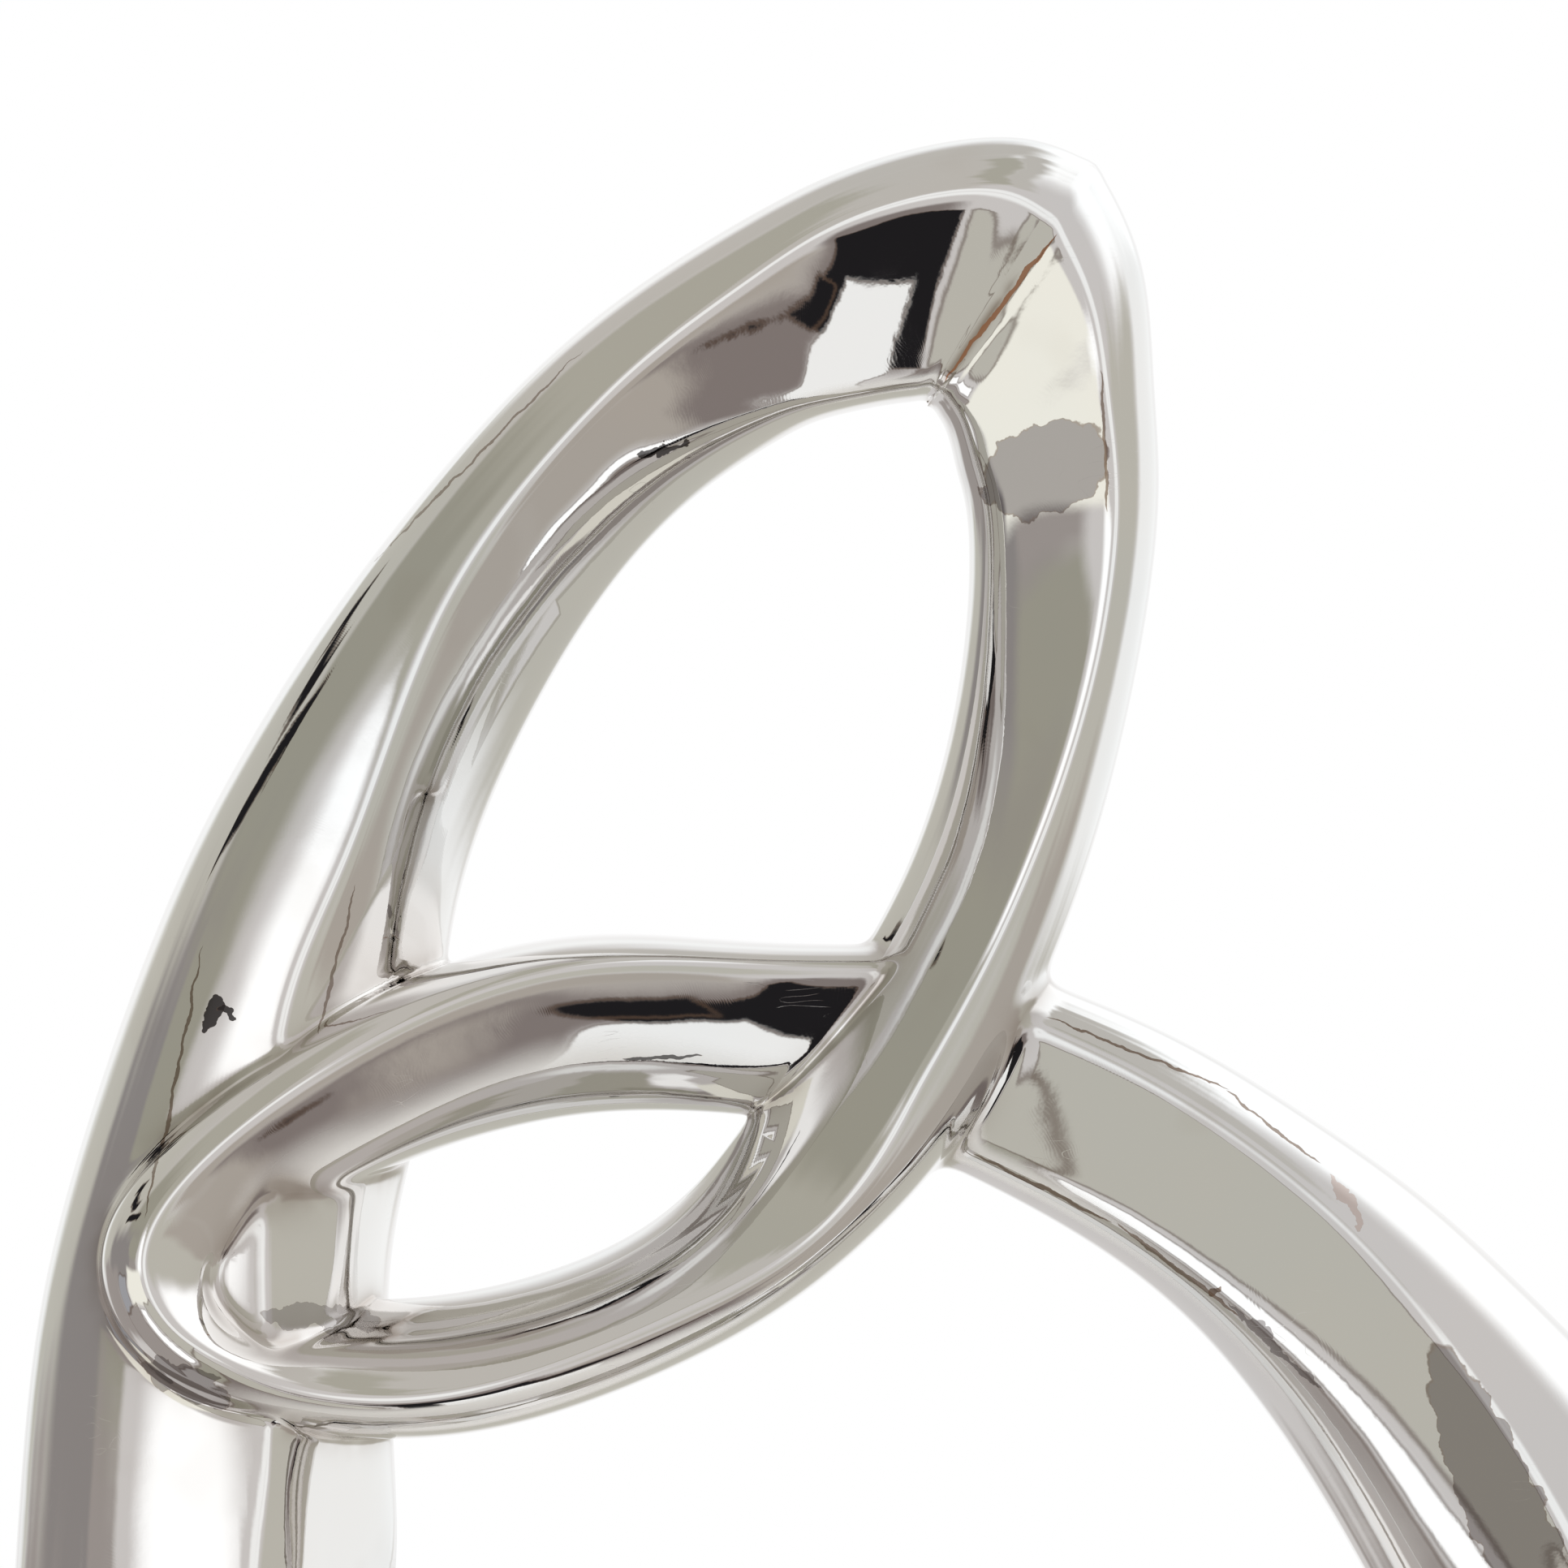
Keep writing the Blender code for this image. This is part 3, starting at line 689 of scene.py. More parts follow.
class Nodes:
    """Adds nodes to a tree, one line each."""

    def __init__(self, tree):
        self.tree = tree

    def add(self, kind, *values, **settings):
        made = self.tree.nodes.new(kind)
        for name, value in settings.items():
            setattr(made, name, value)
        for socket, value in zip(made.inputs, values):
            self.put(socket, value)
        return made

    def put(self, socket, value):
        if isinstance(value, bpy.types.NodeSocket):
            self.tree.links.new(value, socket)
        elif value is not None:
            socket.default_value = value

    def fill(self, made, values):
        """Puts values into a node's inputs by their names."""
        for name, value in values.items():
            self.put(made.inputs[name], value)
        return made

    def math(self, operation, *values):
        return self.add("ShaderNodeMath", *values, operation=operation).outputs[0]

    def times(self, *values):
        """The values' product."""
        product = values[0]
        for value in values[1:]:
            product = self.math("MULTIPLY", product, value)
        return product

    def vector(self, operation, *values):
        made = self.add("ShaderNodeVectorMath", *values, operation=operation)
        return made.outputs["Value" if operation in ("DOT_PRODUCT", "LENGTH") else "Vector"]

    def step(self, value, low, high):
        """0 below low, 1 above high and smooth between; low may be the larger one."""
        made = self.add("ShaderNodeMapRange", value, low, high, interpolation_type="SMOOTHSTEP")
        return made.outputs["Result"]

    def noise(self, place, scale, detail=2.0, output="Fac"):
        made = self.add("ShaderNodeTexNoise", place)
        return self.fill(made, {"Scale": scale, "Detail": detail}).outputs[output]

    def patches(self, place, patch):
        """Patches of noise, from a row of scale, detail, where they begin and where they are full."""
        scale, detail, low, high = patch
        return self.step(self.noise(place, scale, detail), low, high)

    def blend(self, share, first, second):
        made = self.tree.nodes.new("ShaderNodeMix")
        made.data_type = "RGBA"
        for name, value in (("Factor", share), ("A", first), ("B", second)):
            socket = next(i for i in made.inputs if i.name == name and i.enabled)
            self.put(socket, value)
        return next(o for o in made.outputs if o.enabled)


def rgb(*values):
    return (*values, 1.0)


def node_group(name, inputs, outputs, fill):
    """A shader node group; fill gets its nodes and input sockets and returns its output values."""
    group = bpy.data.node_groups.get(name)
    if group:
        return group
    group = bpy.data.node_groups.new(name, "ShaderNodeTree")
    for word, kind in inputs:
        group.interface.new_socket(name=word, in_out="INPUT", socket_type="NodeSocket" + kind)
    for word, kind in outputs:
        group.interface.new_socket(name=word, in_out="OUTPUT", socket_type="NodeSocket" + kind)
    nodes = Nodes(group)
    given = nodes.add("NodeGroupInput")
    results = fill(nodes, *[given.outputs[word] for word, _ in inputs])
    nodes.add("NodeGroupOutput", *results)
    return group


def use_group(nodes, group, *values):
    return nodes.add("ShaderNodeGroup", *values, node_tree=group).outputs


def floats(*words):
    return [(word, "Float") for word in words]


def bump(nodes, height, depth, normal=None):
    made = nodes.add("ShaderNodeBump")
    nodes.fill(made, {"Distance": depth, "Height": height, "Normal": normal})
    return made.outputs["Normal"]


def new_material(name):
    """An empty material with its Principled BSDF and its nodes."""
    material = bpy.data.materials.new(name)
    material.use_nodes = True
    return material, Nodes(material.node_tree), material.node_tree.nodes["Principled BSDF"]


def fill_ripple(nodes, place, coarse, fine):
    """Height of the glaze's ripples: long ones from the brush and short ones from the firing, in patches."""
    patch = nodes.math("MULTIPLY_ADD", nodes.patches(place, RIPPLE_PATCHES), 0.8, 0.2)
    return nodes.noise(place, coarse, 1.5), nodes.times(nodes.noise(place, fine, 3.0), patch)


def fill_smudge(nodes, place):
    """Patches that a hand has touched, and the fine lines of its skin in them."""
    bend = nodes.vector("MULTIPLY_ADD", nodes.noise(place, SKIN_BEND_SCALE, 1.0), SKIN_BEND, place)
    along = nodes.vector("DOT_PRODUCT", bend, SKIN_DIRECTION)
    line = nodes.math("SINE", nodes.times(along, 2 * math.pi / SKIN_LINE_SPACING))
    lines = nodes.times(nodes.step(line, *SKIN_LINE_EDGE), nodes.patches(place, SKIN_PATCHES))
    return nodes.patches(place, SMUDGE_PATCHES), lines


def fill_speck(nodes, place):
    """Pinholes: a few of the cells of a grid have a small dark dot."""
    cells = nodes.fill(nodes.add("ShaderNodeTexVoronoi", place), {"Scale": 1 / SPECK_SPACING})
    spread = nodes.vector("MULTIPLY", cells.outputs["Position"], (SPECK_SPREAD,) * 3)
    few = nodes.math("GREATER_THAN", nodes.noise(spread, 1.0), SPECK_CHANCE)
    radius = SPECK_RADIUS / SPECK_SPACING
    dot = nodes.step(cells.outputs["Distance"], radius, 0.5 * radius)
    return (nodes.times(dot, few),)


def fill_scratch(nodes, place):
    """Hairline scratches, long along one direction and thin across it."""
    stretch = (1 / SCRATCH_LENGTH, 1 / SCRATCH_SPACING, 1 / SCRATCH_SPACING)
    turned = nodes.fill(nodes.add("ShaderNodeMapping", place), {"Rotation": SCRATCH_TURN, "Scale": stretch})
    line = nodes.noise(turned.outputs["Vector"], 1.0, 0.0)
    thin = nodes.step(nodes.math("ABSOLUTE", nodes.math("SUBTRACT", line, 0.5)), SCRATCH_WIDTH, 0.0)
    return (nodes.times(thin, nodes.patches(place, SCRATCH_PATCHES)),)


def fill_painted_reflection(nodes, x, z, middle_x, middle_z, turn, length, width):
    """A long painted reflection in the glaze's colour, and the thin line round it."""
    off_x, off_z = nodes.math("SUBTRACT", x, middle_x), nodes.math("SUBTRACT", z, middle_z)
    c, n = nodes.math("COSINE", turn), nodes.math("SINE", turn)
    along = nodes.math("DIVIDE", nodes.math("ADD", nodes.times(off_x, c), nodes.times(off_z, n)), length)
    across = nodes.math("DIVIDE", nodes.math("SUBTRACT", nodes.times(off_z, c), nodes.times(off_x, n)), width)
    off = nodes.math("SQRT", nodes.math("ADD", nodes.times(along, along), nodes.times(across, across)))
    mask = nodes.step(off, *PAINTED_REFLECTION_EDGE)
    return mask, nodes.times(mask, nodes.math("SUBTRACT", 1.0, mask), PAINTED_REFLECTION_LINE)


def lay_painted_reflections(nodes, place, colour):
    """Lays the front's painted reflections over the glaze's colour."""
    wander = nodes.noise(place, PAINTED_REFLECTION_WANDER_SCALE, 3.0, "Color")
    wandered = {}
    for kind, reach in PAINTED_REFLECTION_WANDER.items():
        moved = nodes.vector("MULTIPLY_ADD", wander, (reach,) * 3, place)
        moved = nodes.vector("SUBTRACT", moved, (reach / 2,) * 3)
        wandered[kind] = nodes.add("ShaderNodeSeparateXYZ", moved).outputs
    front = nodes.step(wandered["wide"]["Y"], FRONT_EDGE, -FRONT_EDGE)
    sockets = floats("X", "Z", "Middle X", "Middle Z", "Turn", "Length", "Width")
    group = node_group("PaintedReflection", sockets, floats("Mask", "Line"), fill_painted_reflection)
    for tone, strength, x, z, turn, length, width in PAINTED_REFLECTIONS:
        moved = wandered["thin" if width < THIN_PAINTED_REFLECTION else "wide"]
        painted_patch = use_group(nodes, group, moved["X"], moved["Z"], x, z, math.radians(turn), length, width)
        for part, paint in (("Mask", tone), ("Line", "umber")):
            share = nodes.times(painted_patch[part], front, strength)
            colour = nodes.blend(share, colour, rgb(*PAINTED_REFLECTION_COLOURS[paint]))
    return colour


def glaze_material(name):
    settings = bpy.context.scene.loop_glaze
    material, nodes, shader = new_material(name)
    place = nodes.add("ShaderNodeTexCoord").outputs["Object"]
    vector = [("Place", "Vector")]
    group = node_group("GlazeRipple", vector + floats("Coarse", "Fine"), floats("Long", "Short"), fill_ripple)
    ripple = use_group(nodes, group, place, *RIPPLE_SCALES)
    group = node_group("HandSmudge", vector, floats("Patch", "Lines"), fill_smudge)
    smudge = use_group(nodes, group, place)
    speck = use_group(nodes, node_group("Pinhole", vector, floats("Mask"), fill_speck), place)[0]
    scratch = use_group(nodes, node_group("Hairline", vector, floats("Mask"), fill_scratch), place)[0]
    # painted shade in the creases, mixed with the brown of pooled glaze, in patches
    crease = nodes.add("ShaderNodeAttribute", attribute_name="crease").outputs["Fac"]
    crease = nodes.times(crease, nodes.patches(place, CREASE_PATCHES))
    colour = nodes.blend(nodes.patches(place, WARM_PATCHES), rgb(*settings.cool), rgb(*settings.warm))
    paints = ((smudge["Patch"], 0.25, SMUDGE_COLOUR), (crease, settings.crease, CREASE_POOL_AND_SHADE_COLOUR),
              (speck, 0.85, SPECK_COLOUR))
    for mask, strength, paint in paints:
        colour = nodes.blend(nodes.times(mask, strength), colour, rgb(*paint))
    # painted reflections: dark and coloured patches laid into the colour of the glaze's front
    colour = lay_painted_reflections(nodes, place, colour)
    dull = settings.roughness
    for mask, rise in ((smudge["Patch"], 0.035), (smudge["Lines"], 0.03), (scratch, 0.20), (speck, 0.4)):
        dull = nodes.math("MULTIPLY_ADD", mask, rise, dull)
    relief = ((ripple["Long"], settings.ripple * LONG_RIPPLE), (ripple["Short"], settings.ripple),
              (smudge["Lines"], SKIN_LINE_DEPTH), (scratch, -SCRATCH_DEPTH), (speck, -SPECK_DEPTH))
    normal = None
    for height, depth in relief:
        normal = bump(nodes, height, depth, normal)
    nodes.fill(shader, {"Base Color": colour, "Metallic": 1.0, "Roughness": dull, "Normal": normal})
    return material


def clay_material(name):
    material, nodes, shader = new_material(name)
    place = nodes.add("ShaderNodeTexCoord").outputs["Object"]
    grain = nodes.noise(place, CLAY_GRAIN_SCALE, 3.0)
    colour = nodes.blend(nodes.patches(place, CLAY_STAINS), rgb(*CLAY_PALE), rgb(*CLAY_STAINED))
    colour = nodes.blend(nodes.step(grain, 0.60, 0.75), colour, rgb(*CLAY_GRIT))
    nodes.fill(shader, {"Base Color": colour, "Roughness": 0.92, "Normal": bump(nodes, grain, CLAY_DEPTH)})
    return material


def felt_material(name):
    material, nodes, shader = new_material(name)
    place = nodes.add("ShaderNodeTexCoord").outputs["Object"]
    fibre = nodes.noise(nodes.vector("MULTIPLY", place, FELT_STRETCH), FELT_SCALE, 4.0)
    colour = nodes.blend(nodes.step(fibre, 0.40, 0.70), rgb(*FELT_DARK), rgb(*FELT_LIGHT))
    nodes.fill(shader, {"Base Color": colour, "Roughness": 1.0, "Sheen Weight": 0.4, "Sheen Roughness": 0.5,
                        "Normal": bump(nodes, fibre, FELT_DEPTH)})
    return material


def shared_material(name, make):
    return bpy.data.materials.get(name) or make(name)


def glaze():
    return shared_material("silver_lustre_glaze", glaze_material)


def length_property(name, description, default, least):
    return bpy.props.FloatProperty(
        name=name, description=description, default=default, min=least, subtype="DISTANCE", unit="LENGTH")


def share_property(name, description, default):
    return bpy.props.FloatProperty(
        name=name, description=description, default=default, min=0, max=1, subtype="FACTOR")


def colour_property(name, description, default):
    return bpy.props.FloatVectorProperty(
        name=name, description=description, default=default, size=3, min=0, max=1, subtype="COLOR")


class CastingSizes(bpy.types.PropertyGroup):
    ring_spacing: length_property(
        "Ring spacing", "Distance between the rings of a casting's skin", 0.0018, 0.0005)
    arch_fillet: length_property(
        "Arch fillet", "Softness of the fillet between the arch and the right arm", 0.0060, 0.001)
    strand_fillet: length_property(
        "Strand fillet", "Softness of the fillet where the eye's strand ends on the arm", 0.0030, 0.001)
    scroll_fillet: length_property(
        "Scroll fillet", "Softness of the fillet between the scroll and the column", 0.0030, 0.001)


class PadSizes(bpy.types.PropertyGroup):
    radius: length_property("Radius", "Radius of a felt pad", 0.006, 0.002)
    thickness: length_property("Thickness", "Thickness of a felt pad", 0.002, 0.001)


class GlazeSettings(bpy.types.PropertyGroup):
    cool: colour_property(
        "Cool tone", "Reflection colour of the lustre where it is thick", (0.735, 0.730, 0.722))
    warm: colour_property(
        "Warm tone", "Reflection colour of the lustre where it is thin", (0.755, 0.732, 0.712))
    roughness: share_property("Roughness", "Roughness of the clean glaze", 0.02)
    ripple: bpy.props.FloatProperty(
        name="Ripple height", description="Height of the glaze's short ripples",
        default=14e-6, min=0, precision=7, subtype="DISTANCE", unit="LENGTH")
    # strength of the painted shade and pooled glaze in the creases
    crease: share_property(
        "Crease tint", "Strength of the brown tint where glaze has pooled in a crease", 0.75)


class StudioSettings(bpy.types.PropertyGroup):
    floor_radius: length_property("Floor radius", "Where the floor has given way to the backdrop", 0.25, 0.2)
    floor_colour: colour_property("Floor colour", "Colour of the pale floor", (0.90, 0.895, 0.885))
    camera_place: bpy.props.FloatVectorProperty(
        name="Camera place", description="Where the camera stands, straight in front of the leaf",
        default=(-0.02534, -1.5, 0.34076), size=3, subtype="TRANSLATION", unit="LENGTH")
    view_width: length_property(
        "View width", "Width of the picture in the sculpture's middle plane", 0.27048, 0.05)


class SCULPTURE_OT_column(bpy.types.Operator):
    """Builds the column with the left side of the leaf, up to the mitred tip"""
    bl_idname = "sculpture.column"
    bl_label = "Column"

    def execute(self, context):
        sizes = context.scene.loop_castings
        bm = casting_mesh(Skin(COLUMN, [(EYE, sizes.scroll_fillet)], ARM, 1))
        take_place(new_object("glazed_column", bm, glaze()), "column")
        return {"FINISHED"}


class SCULPTURE_OT_foot(bpy.types.Operator):
    """Builds the foot with its ground flat and the drain hole"""
    bl_idname = "sculpture.foot"
    bl_label = "Foot"

    def execute(self, context):
        skin = Skin(FOOT)
        bm = casting_mesh(skin)
        grind_foot(bm, skin)
        clay = shared_material("bare_earthenware", clay_material)
        take_place(new_object("glazed_foot", bm, glaze(), clay), "foot")
        return {"FINISHED"}


class SCULPTURE_OT_arch(bpy.types.Operator):
    """Builds the arch that closes the large lower loop"""
    bl_idname = "sculpture.arch"
    bl_label = "Arch"

    def execute(self, context):
        bm = casting_mesh(Skin(ARCH, [(ARM_SEAT, context.scene.loop_castings.arch_fillet)]))
        take_place(new_object("glazed_arch", bm, glaze()), "arch")
        return {"FINISHED"}


class SCULPTURE_OT_right_arm(bpy.types.Operator):
    """Builds the right arm, from the tip down to below the eye"""
    bl_idname = "sculpture.right_arm"
    bl_label = "Right arm"

    def execute(self, context):
        sizes = context.scene.loop_castings
        bm = casting_mesh(Skin(ARM, [(ARCH, sizes.arch_fillet), (STRAND, sizes.strand_fillet)], COLUMN, -1))
        take_place(new_object("glazed_right_arm", bm, glaze()), "right_arm")
        return {"FINISHED"}


class SCULPTURE_OT_eye_loop(bpy.types.Operator):
    """Builds the scroll in front of the column and the strand back to the arm"""
    bl_idname = "sculpture.eye_loop"
    bl_label = "Eye loop"

    def execute(self, context):
        sizes = context.scene.loop_castings
        bm = casting_mesh(Skin(EYE, [(ARM_SEAT, sizes.strand_fillet), (COLUMN, sizes.scroll_fillet)]))
        take_place(new_object("glazed_eye_loop", bm, glaze()), "eye_loop")
        return {"FINISHED"}


def pad_mesh(radius, thickness, turn):
    """A punched felt disc: rounded edges, a slightly frayed rim and a soft top."""
    edge = thickness * PAD_EDGE_SHARE
    flat, top = radius - edge, thickness - edge
    outline = [(0, 0), (radius * 0.5, 0), (flat, 0)]
    outline += [(flat + edge * math.sin(a), edge - edge * math.cos(a)) for a in (0.5, 1.0, 1.57)]
    outline += [(radius, thickness * 0.5)]
    outline += [(flat + edge * math.cos(a), top + edge * math.sin(a)) for a in (0, 0.6, 1.1, 1.57)]
    outline += [(radius * 0.5, thickness), (0, thickness)]
    bm = bmesh.new()
    rings = []
    for out, up in outline:
        ring = []
        for i in range(PAD_SIDES if out else 1):
            angle = 2 * math.pi * i / PAD_SIDES
            fray = 0.006 * math.sin(5 * angle + turn) + 0.004 * math.sin(17 * angle + 2 * turn)
            far = out * (1 + fray * out / radius)
            ring.append(bm.verts.new((far * math.cos(angle), far * math.sin(angle), up)))
        rings.append(ring)
    for low, high in zip(rings, rings[1:]):
        for i in range(PAD_SIDES):
            j = (i + 1) % PAD_SIDES
            corners = [low[i % len(low)], low[j % len(low)], high[j % len(high)], high[i % len(high)]]
            bm.faces.new(list(dict.fromkeys(corners)))
    return bm


class SCULPTURE_OT_pads(bpy.types.Operator):
    """Builds the four felt pads under the foot"""
    bl_idname = "sculpture.pads"
    bl_label = "Felt pads"

    def execute(self, context):
        sizes = context.scene.loop_pads
        felt = shared_material("pressed_felt", felt_material)
        for number, (x, y) in enumerate(PAD_PLACES, start=1):
            bm = pad_mesh(sizes.radius, sizes.thickness, number)
            bmesh.ops.translate(bm, vec=(x, y, 0), verts=bm.verts)
            take_place(new_object(f"felt_{number}", bm, felt), f"felt_pad_{number}")
        return {"FINISHED"}


# The studio's tones are brighter than the glaze shows them, because it takes a quarter of the light.
TONES = {
    "white": (1.370, 1.398, 1.418),
    "bright": (1.104, 1.127, 1.132),
    "haze": (0.749, 0.731, 0.724),
    "pale": (0.620, 0.610, 0.551),
    "cream": (1.104, 1.105, 1.015),
    "sage": (0.512, 0.502, 0.436),
    "olive": (0.403, 0.394, 0.331),
    "mauve": (0.409, 0.376, 0.359),
    "dusk": (0.271, 0.235, 0.225),
    "steel": (0.421, 0.430, 0.462),
    "black": (0.017, 0.016, 0.018),
    "soot": (0.073, 0.062, 0.071),
    "umber": (0.131, 0.084, 0.059),
    "plum": (0.320, 0.301, 0.295),
    "silver": (0.643, 0.625, 0.588),
    "taupe": (0.505, 0.468, 0.424),
}
BASE_TONE = "haze"

# The studio as the glaze sees it. Each panel has its tone, where it begins and ends, in degrees from
# the direction of the viewer, the middle of its bearing and half its width, in degrees round that
# direction from the right towards the top, and how soft its edge is.
PANELS = (
    ("bright", 0, 11, 0, 200, 8),
    ("white", 62, 175, 48, 32, 24),
    ("bright", 96, 175, 0, 24, 18),
    ("pale", 20, 94, -8, 24, 16),
    ("taupe", 58, 90, -26, 8, 8),
    ("pale", 104, 175, -60, 38, 10),
    ("sage", 17, 94, 130, 24, 10),
    ("silver", 14, 98, 94, 15, 8),
    ("silver", 94, 132, 113, 41, 14),
    ("bright", 140, 175, 130, 60, 24),
    ("olive", 50, 94, 152, 15, 12),
    ("pale", 96, 152, 160, 24, 12),
    ("white", 24, 41, 171, 15, 9),
    ("plum", 60, 124, 177, 15, 12),
    ("olive", 52, 76, 169, 7, 6),
    ("mauve", 52, 74, 180, 5, 5),
    ("cream", 36, 80, 195, 12.5, 4.5),
    ("steel", 83, 102, 197, 9, 4),
    ("mauve", 102, 140, 200, 18, 8),
    ("pale", 18, 60, 223, 17, 4),
    ("white", 64, 71, 224, 14, 2.5),
    ("mauve", 73, 103, 222, 16, 4),
    ("black", 84, 107, 155, 1.8, 1.2),
    ("black", 103, 130, 149, 2, 2),
    ("sage", 30, 88, 81, 7, 5),
    ("silver", 30, 100, 70, 6, 6),
    ("pale", 34, 60, -103, 18, 4),
    ("olive", 59, 80, -105, 15, 4),
    ("dusk", 60, 101, -96, 14, 4),
    ("soot", 68, 96, -90, 8, 5),
    ("dusk", 27, 62, -65, 15, 8),
    ("taupe", 40, 62, -43, 8, 9),
    ("dusk", 57, 84, -54, 6.5, 5),
    ("black", 36, 60, -68.5, 13.5, 1.5),
    ("black", 50, 61, -56, 2.5, 2),
    ("taupe", 60, 84, -41.5, 9.5, 5),
    ("white", 85, 88, -45, 12, 1.5),
    ("umber", 89, 94, -44, 14, 3),
    ("bright", 47, 82, -68, 8, 1.5),
)

# The glaze mirrors the white backdrop past this angle from the direction of the viewer.
BACKDROP_EDGE = (150.0, 166.0)

RIM_STRENGTH = 0.6
RIM_SOFTNESS = 4            # a panel with a softer edge than this has no line along it

FLOOR_GRAIN = (0.93, 0.925, 0.915)
FLOOR_GRAIN_SCALE = 160.0
FLOOR_SIDES = 96
FLOOR_MARGIN = 1.02         # of the disc past the floor's own radius
FLOOR_FADE = 0.5            # where the floor starts to give way, as a share of its radius
FLOOR_LIFT = 0.22           # brings the floor up to the backdrop, for the camera and the glaze alone
SENSOR_WIDTH = 36

# How the panels' edges waver: for X, Y and Z the wave's direction, its start and its size.
WAVERS = (
    ((0, 9, 7), 1, (0.030, 0, 0)), ((11, 0, 8), 0, (0, 0.030, 0)), ((10, 6, 0), 2, (0, 0, 0.030)),
    ((0, 31, 17), 0, (0.012, 0, 0)), ((21, 0, 27), 0, (0, 0.012, 0)), ((29, 23, 0), 0, (0, 0, 0.012)),
)


def fill_panel(nodes, under, tone, rim, line, angle, bearing, inner, outer, middle, half, softness):
    """Lays one panel over what is already there, with a thin darker line along its edge."""
    centre = nodes.times(nodes.math("ADD", inner, outer), 0.5)
    reach = nodes.times(nodes.math("SUBTRACT", outer, inner), 0.5)
    soft = nodes.times(softness, 0.5)
    masks = []
    turned = nodes.math("WRAP", nodes.math("SUBTRACT", bearing, middle), 180.0, -180.0)
    for off, span in ((nodes.math("SUBTRACT", angle, centre), reach), (turned, half)):
        off = nodes.math("ABSOLUTE", off)
        masks.append(nodes.step(off, nodes.math("ADD", span, soft), nodes.math("SUBTRACT", span, soft)))
    mask = nodes.times(*masks)
    edge = nodes.times(mask, nodes.math("SUBTRACT", 1.0, mask), 4.0)
    edge = nodes.times(nodes.math("POWER", edge, 2.0), line)
    return (nodes.blend(edge, nodes.blend(mask, under, tone), rim),)


def studio_world():
    """White to the camera, and to the glaze the panels of the studio."""
    world = bpy.data.worlds.new("studio")
    world.use_nodes = True
    nodes = Nodes(world.node_tree)
    direction = nodes.add("ShaderNodeTexCoord").outputs["Generated"]
    wavered = direction
    for along, start, size in WAVERS:
        wave = nodes.math("SINE", nodes.math("ADD", nodes.vector("DOT_PRODUCT", direction, along), start))
        wavered = nodes.vector("ADD", wavered, nodes.vector("MULTIPLY", wave, size))
    parts = nodes.add("ShaderNodeSeparateXYZ", nodes.vector("NORMALIZE", wavered)).outputs
    degrees = math.degrees(1)
    angle = nodes.times(nodes.math("ARCCOSINE", nodes.times(parts["Y"], -1.0)), degrees)
    bearing = nodes.times(nodes.math("ARCTAN2", parts["Z"], parts["X"]), degrees)
    colours = [(word, "Color") for word in ("Under", "Tone", "Rim")]
    values = floats("Line", "Angle", "Bearing", "Inner", "Outer", "Middle", "Half", "Softness")
    group = node_group("StudioPanel", colours + values, (("Color", "Color"),), fill_panel)
    rim = rgb(*TONES["umber"])
    colour = rgb(*TONES[BASE_TONE])
    for tone, *place in PANELS:
        line = RIM_STRENGTH if place[-1] <= RIM_SOFTNESS else 0.0
        colour = use_group(nodes, group, colour, rgb(*TONES[tone]), rim, line, angle, bearing, *place)[0]
    ray = nodes.add("ShaderNodeLightPath").outputs
    mirrored = nodes.math("MAXIMUM", ray["Is Glossy Ray"], ray["Is Transmission Ray"])
    backdrop = nodes.times(nodes.step(angle, *BACKDROP_EDGE), mirrored)
    white = nodes.math("MAXIMUM", backdrop, ray["Is Camera Ray"])
    background = world.node_tree.nodes["Background"]
    nodes.fill(background, {"Color": nodes.blend(white, colour, rgb(1.0, 1.0, 1.0)), "Strength": 1.0})
    return world


def floor_material(settings):
    """Pale floor that keeps the shadow near the sculpture and gives way to the backdrop further out."""
    material, nodes, shader = new_material("studio_floor")
    place = nodes.add("ShaderNodeTexCoord").outputs["Object"]
    grain = nodes.noise(place, FLOOR_GRAIN_SCALE, 3.0)
    colour = nodes.blend(grain, rgb(*settings.floor_colour), rgb(*FLOOR_GRAIN))
    ray = nodes.add("ShaderNodeLightPath").outputs
    seen = nodes.math("MAXIMUM", ray["Is Camera Ray"], ray["Is Glossy Ray"])
    seen = nodes.math("MAXIMUM", seen, ray["Is Transmission Ray"])
    nodes.fill(shader, {"Base Color": colour, "Roughness": 0.75, "Emission Color": rgb(1.0, 1.0, 1.0),
                        "Emission Strength": nodes.times(seen, FLOOR_LIFT)})
    radius = settings.floor_radius
    fade = nodes.step(nodes.vector("LENGTH", place), radius * FLOOR_FADE, radius)
    clear = nodes.add("ShaderNodeBsdfTransparent").outputs[0]
    mix = nodes.add("ShaderNodeMixShader", fade, shader.outputs[0], clear)
    nodes.put(material.node_tree.nodes["Material Output"].inputs["Surface"], mix.outputs[0])
    return material


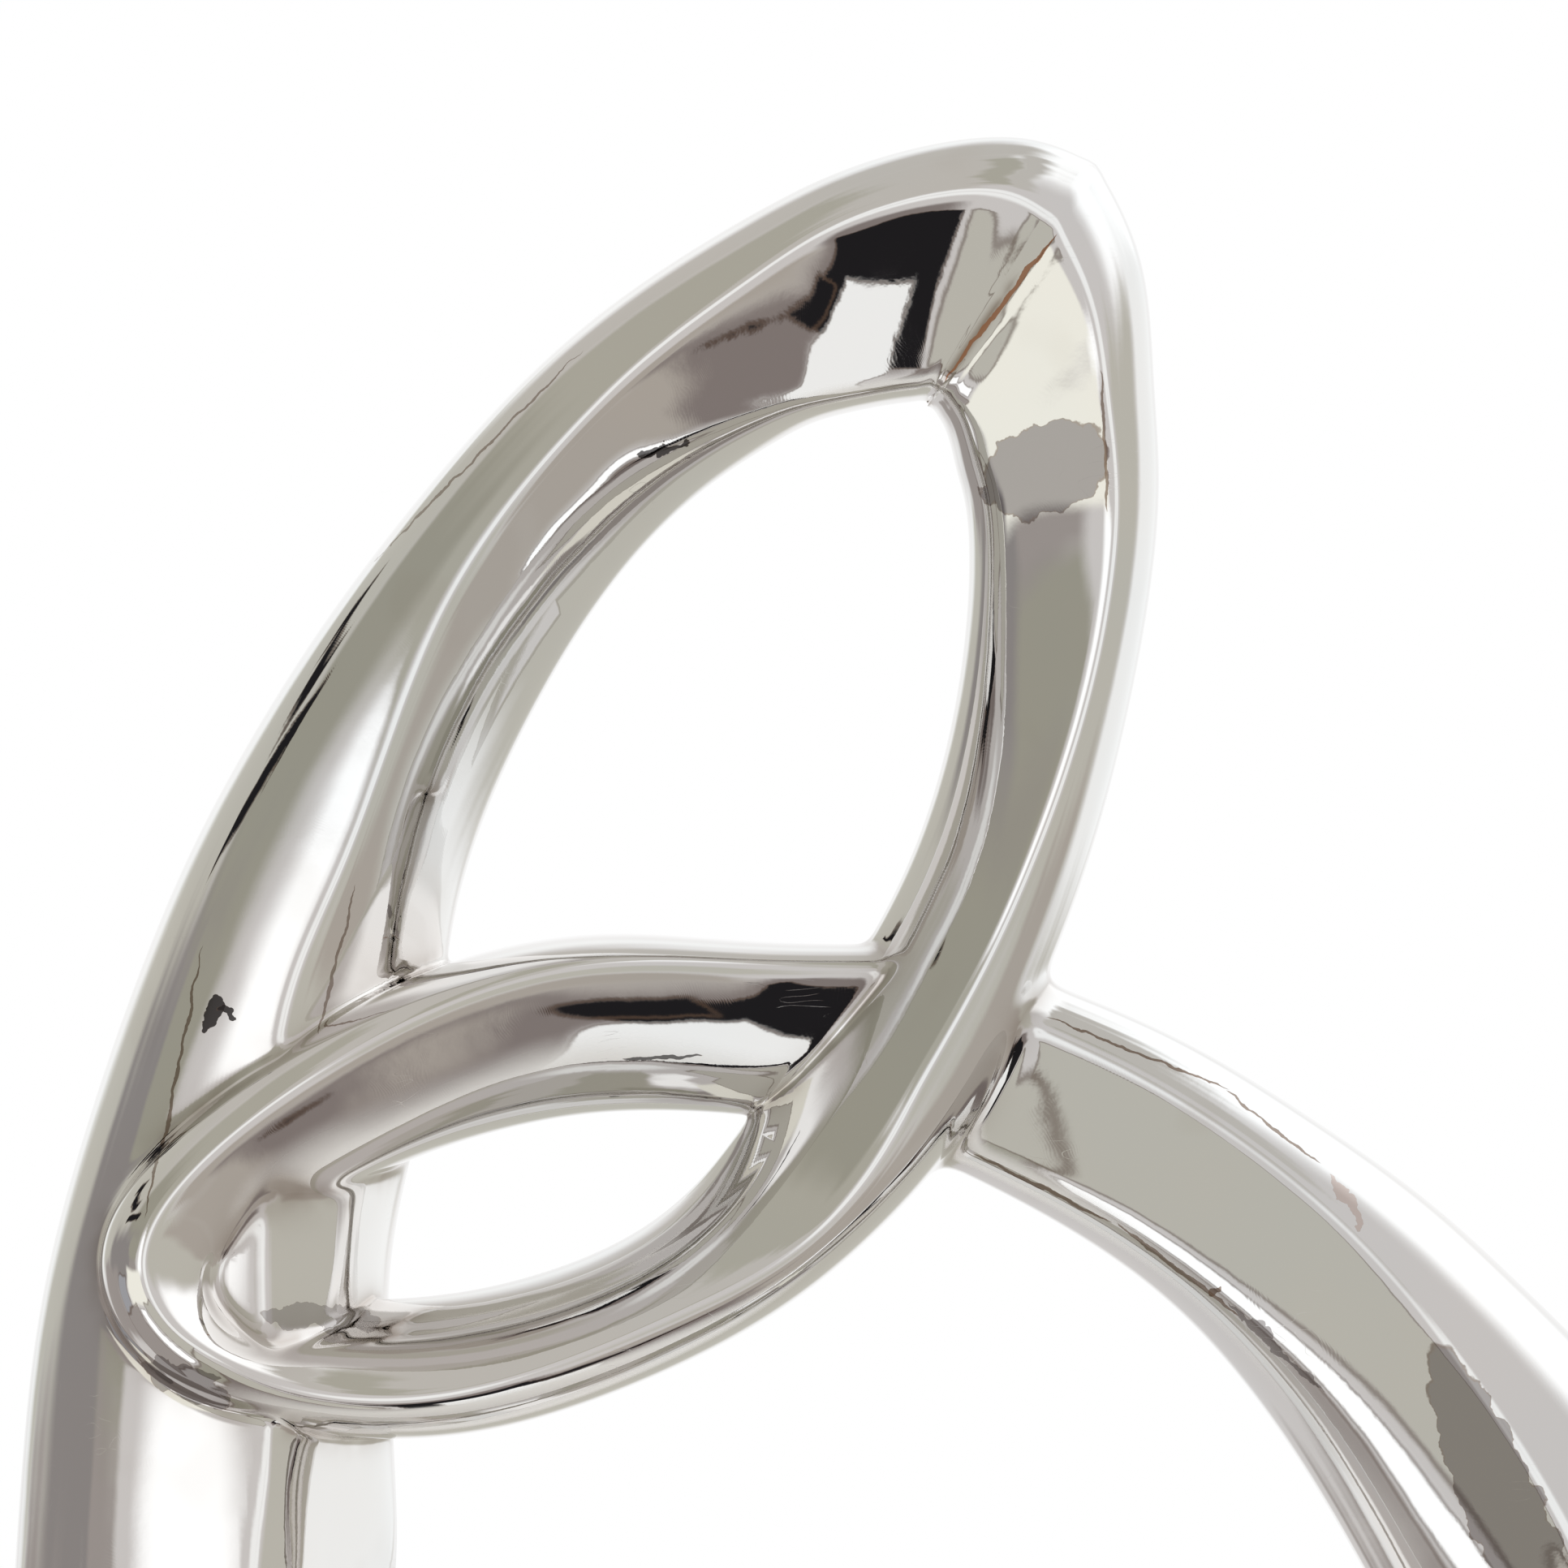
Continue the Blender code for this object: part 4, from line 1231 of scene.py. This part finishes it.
class SCULPTURE_OT_stage(bpy.types.Operator):
    """Sets up the floor, the studio around it and the camera"""
    bl_idname = "sculpture.stage"
    bl_label = "Stage"

    def execute(self, context):
        scene = context.scene
        settings = scene.loop_studio
        bm = bmesh.new()
        bm.verts.layers.float_vector.new("facing")
        bm.faces.new(ring_of(bm, settings.floor_radius * FLOOR_MARGIN, 0.0, FLOOR_SIDES, (0, 0, 1)))
        new_object("floor", bm, floor_material(settings))
        scene.world = studio_world()
        camera = bpy.data.objects.new("camera", bpy.data.cameras.new("camera"))
        scene.collection.objects.link(camera)
        camera.location = settings.camera_place
        camera.rotation_euler = (math.radians(90), 0, 0)
        camera.data.sensor_width = SENSOR_WIDTH
        camera.data.lens = SENSOR_WIDTH * abs(settings.camera_place[1]) / settings.view_width
        scene.camera = camera
        scene.view_settings.view_transform = "Standard"
        return {"FINISHED"}


OPERATORS = (SCULPTURE_OT_column, SCULPTURE_OT_foot, SCULPTURE_OT_arch, SCULPTURE_OT_right_arm,
             SCULPTURE_OT_eye_loop, SCULPTURE_OT_pads, SCULPTURE_OT_stage)


class SCULPTURE_PT_panel(bpy.types.Panel):
    """Sizes of the sculpture and a button for each group of pieces"""
    bl_label = "Loop sculpture"
    bl_idname = "SCULPTURE_PT_panel"
    bl_space_type = "VIEW_3D"
    bl_region_type = "UI"
    bl_category = "Sculpture"

    def draw(self, context):
        for settings in SETTINGS:
            group = getattr(context.scene, settings)
            box = self.layout.box()
            for name in group.bl_rna.properties.keys():
                if name not in ("rna_type", "name"):
                    box.prop(group, name)
        for operator in OPERATORS:
            self.layout.operator(operator.bl_idname)


SETTINGS = {"loop_castings": CastingSizes, "loop_pads": PadSizes, "loop_glaze": GlazeSettings,
            "loop_studio": StudioSettings}
CLASSES = (*SETTINGS.values(), *OPERATORS, SCULPTURE_PT_panel)


def register():
    for cls in CLASSES:
        bpy.utils.register_class(cls)
    for name, settings in SETTINGS.items():
        setattr(bpy.types.Scene, name, bpy.props.PointerProperty(type=settings))


def unregister():
    for name in SETTINGS:
        delattr(bpy.types.Scene, name)
    for cls in reversed(CLASSES):
        bpy.utils.unregister_class(cls)


def main():
    register()
    for operator in OPERATORS:
        _, name = operator.bl_idname.split(".")
        getattr(bpy.ops.sculpture, name)()


if __name__ == "__main__":
    main()
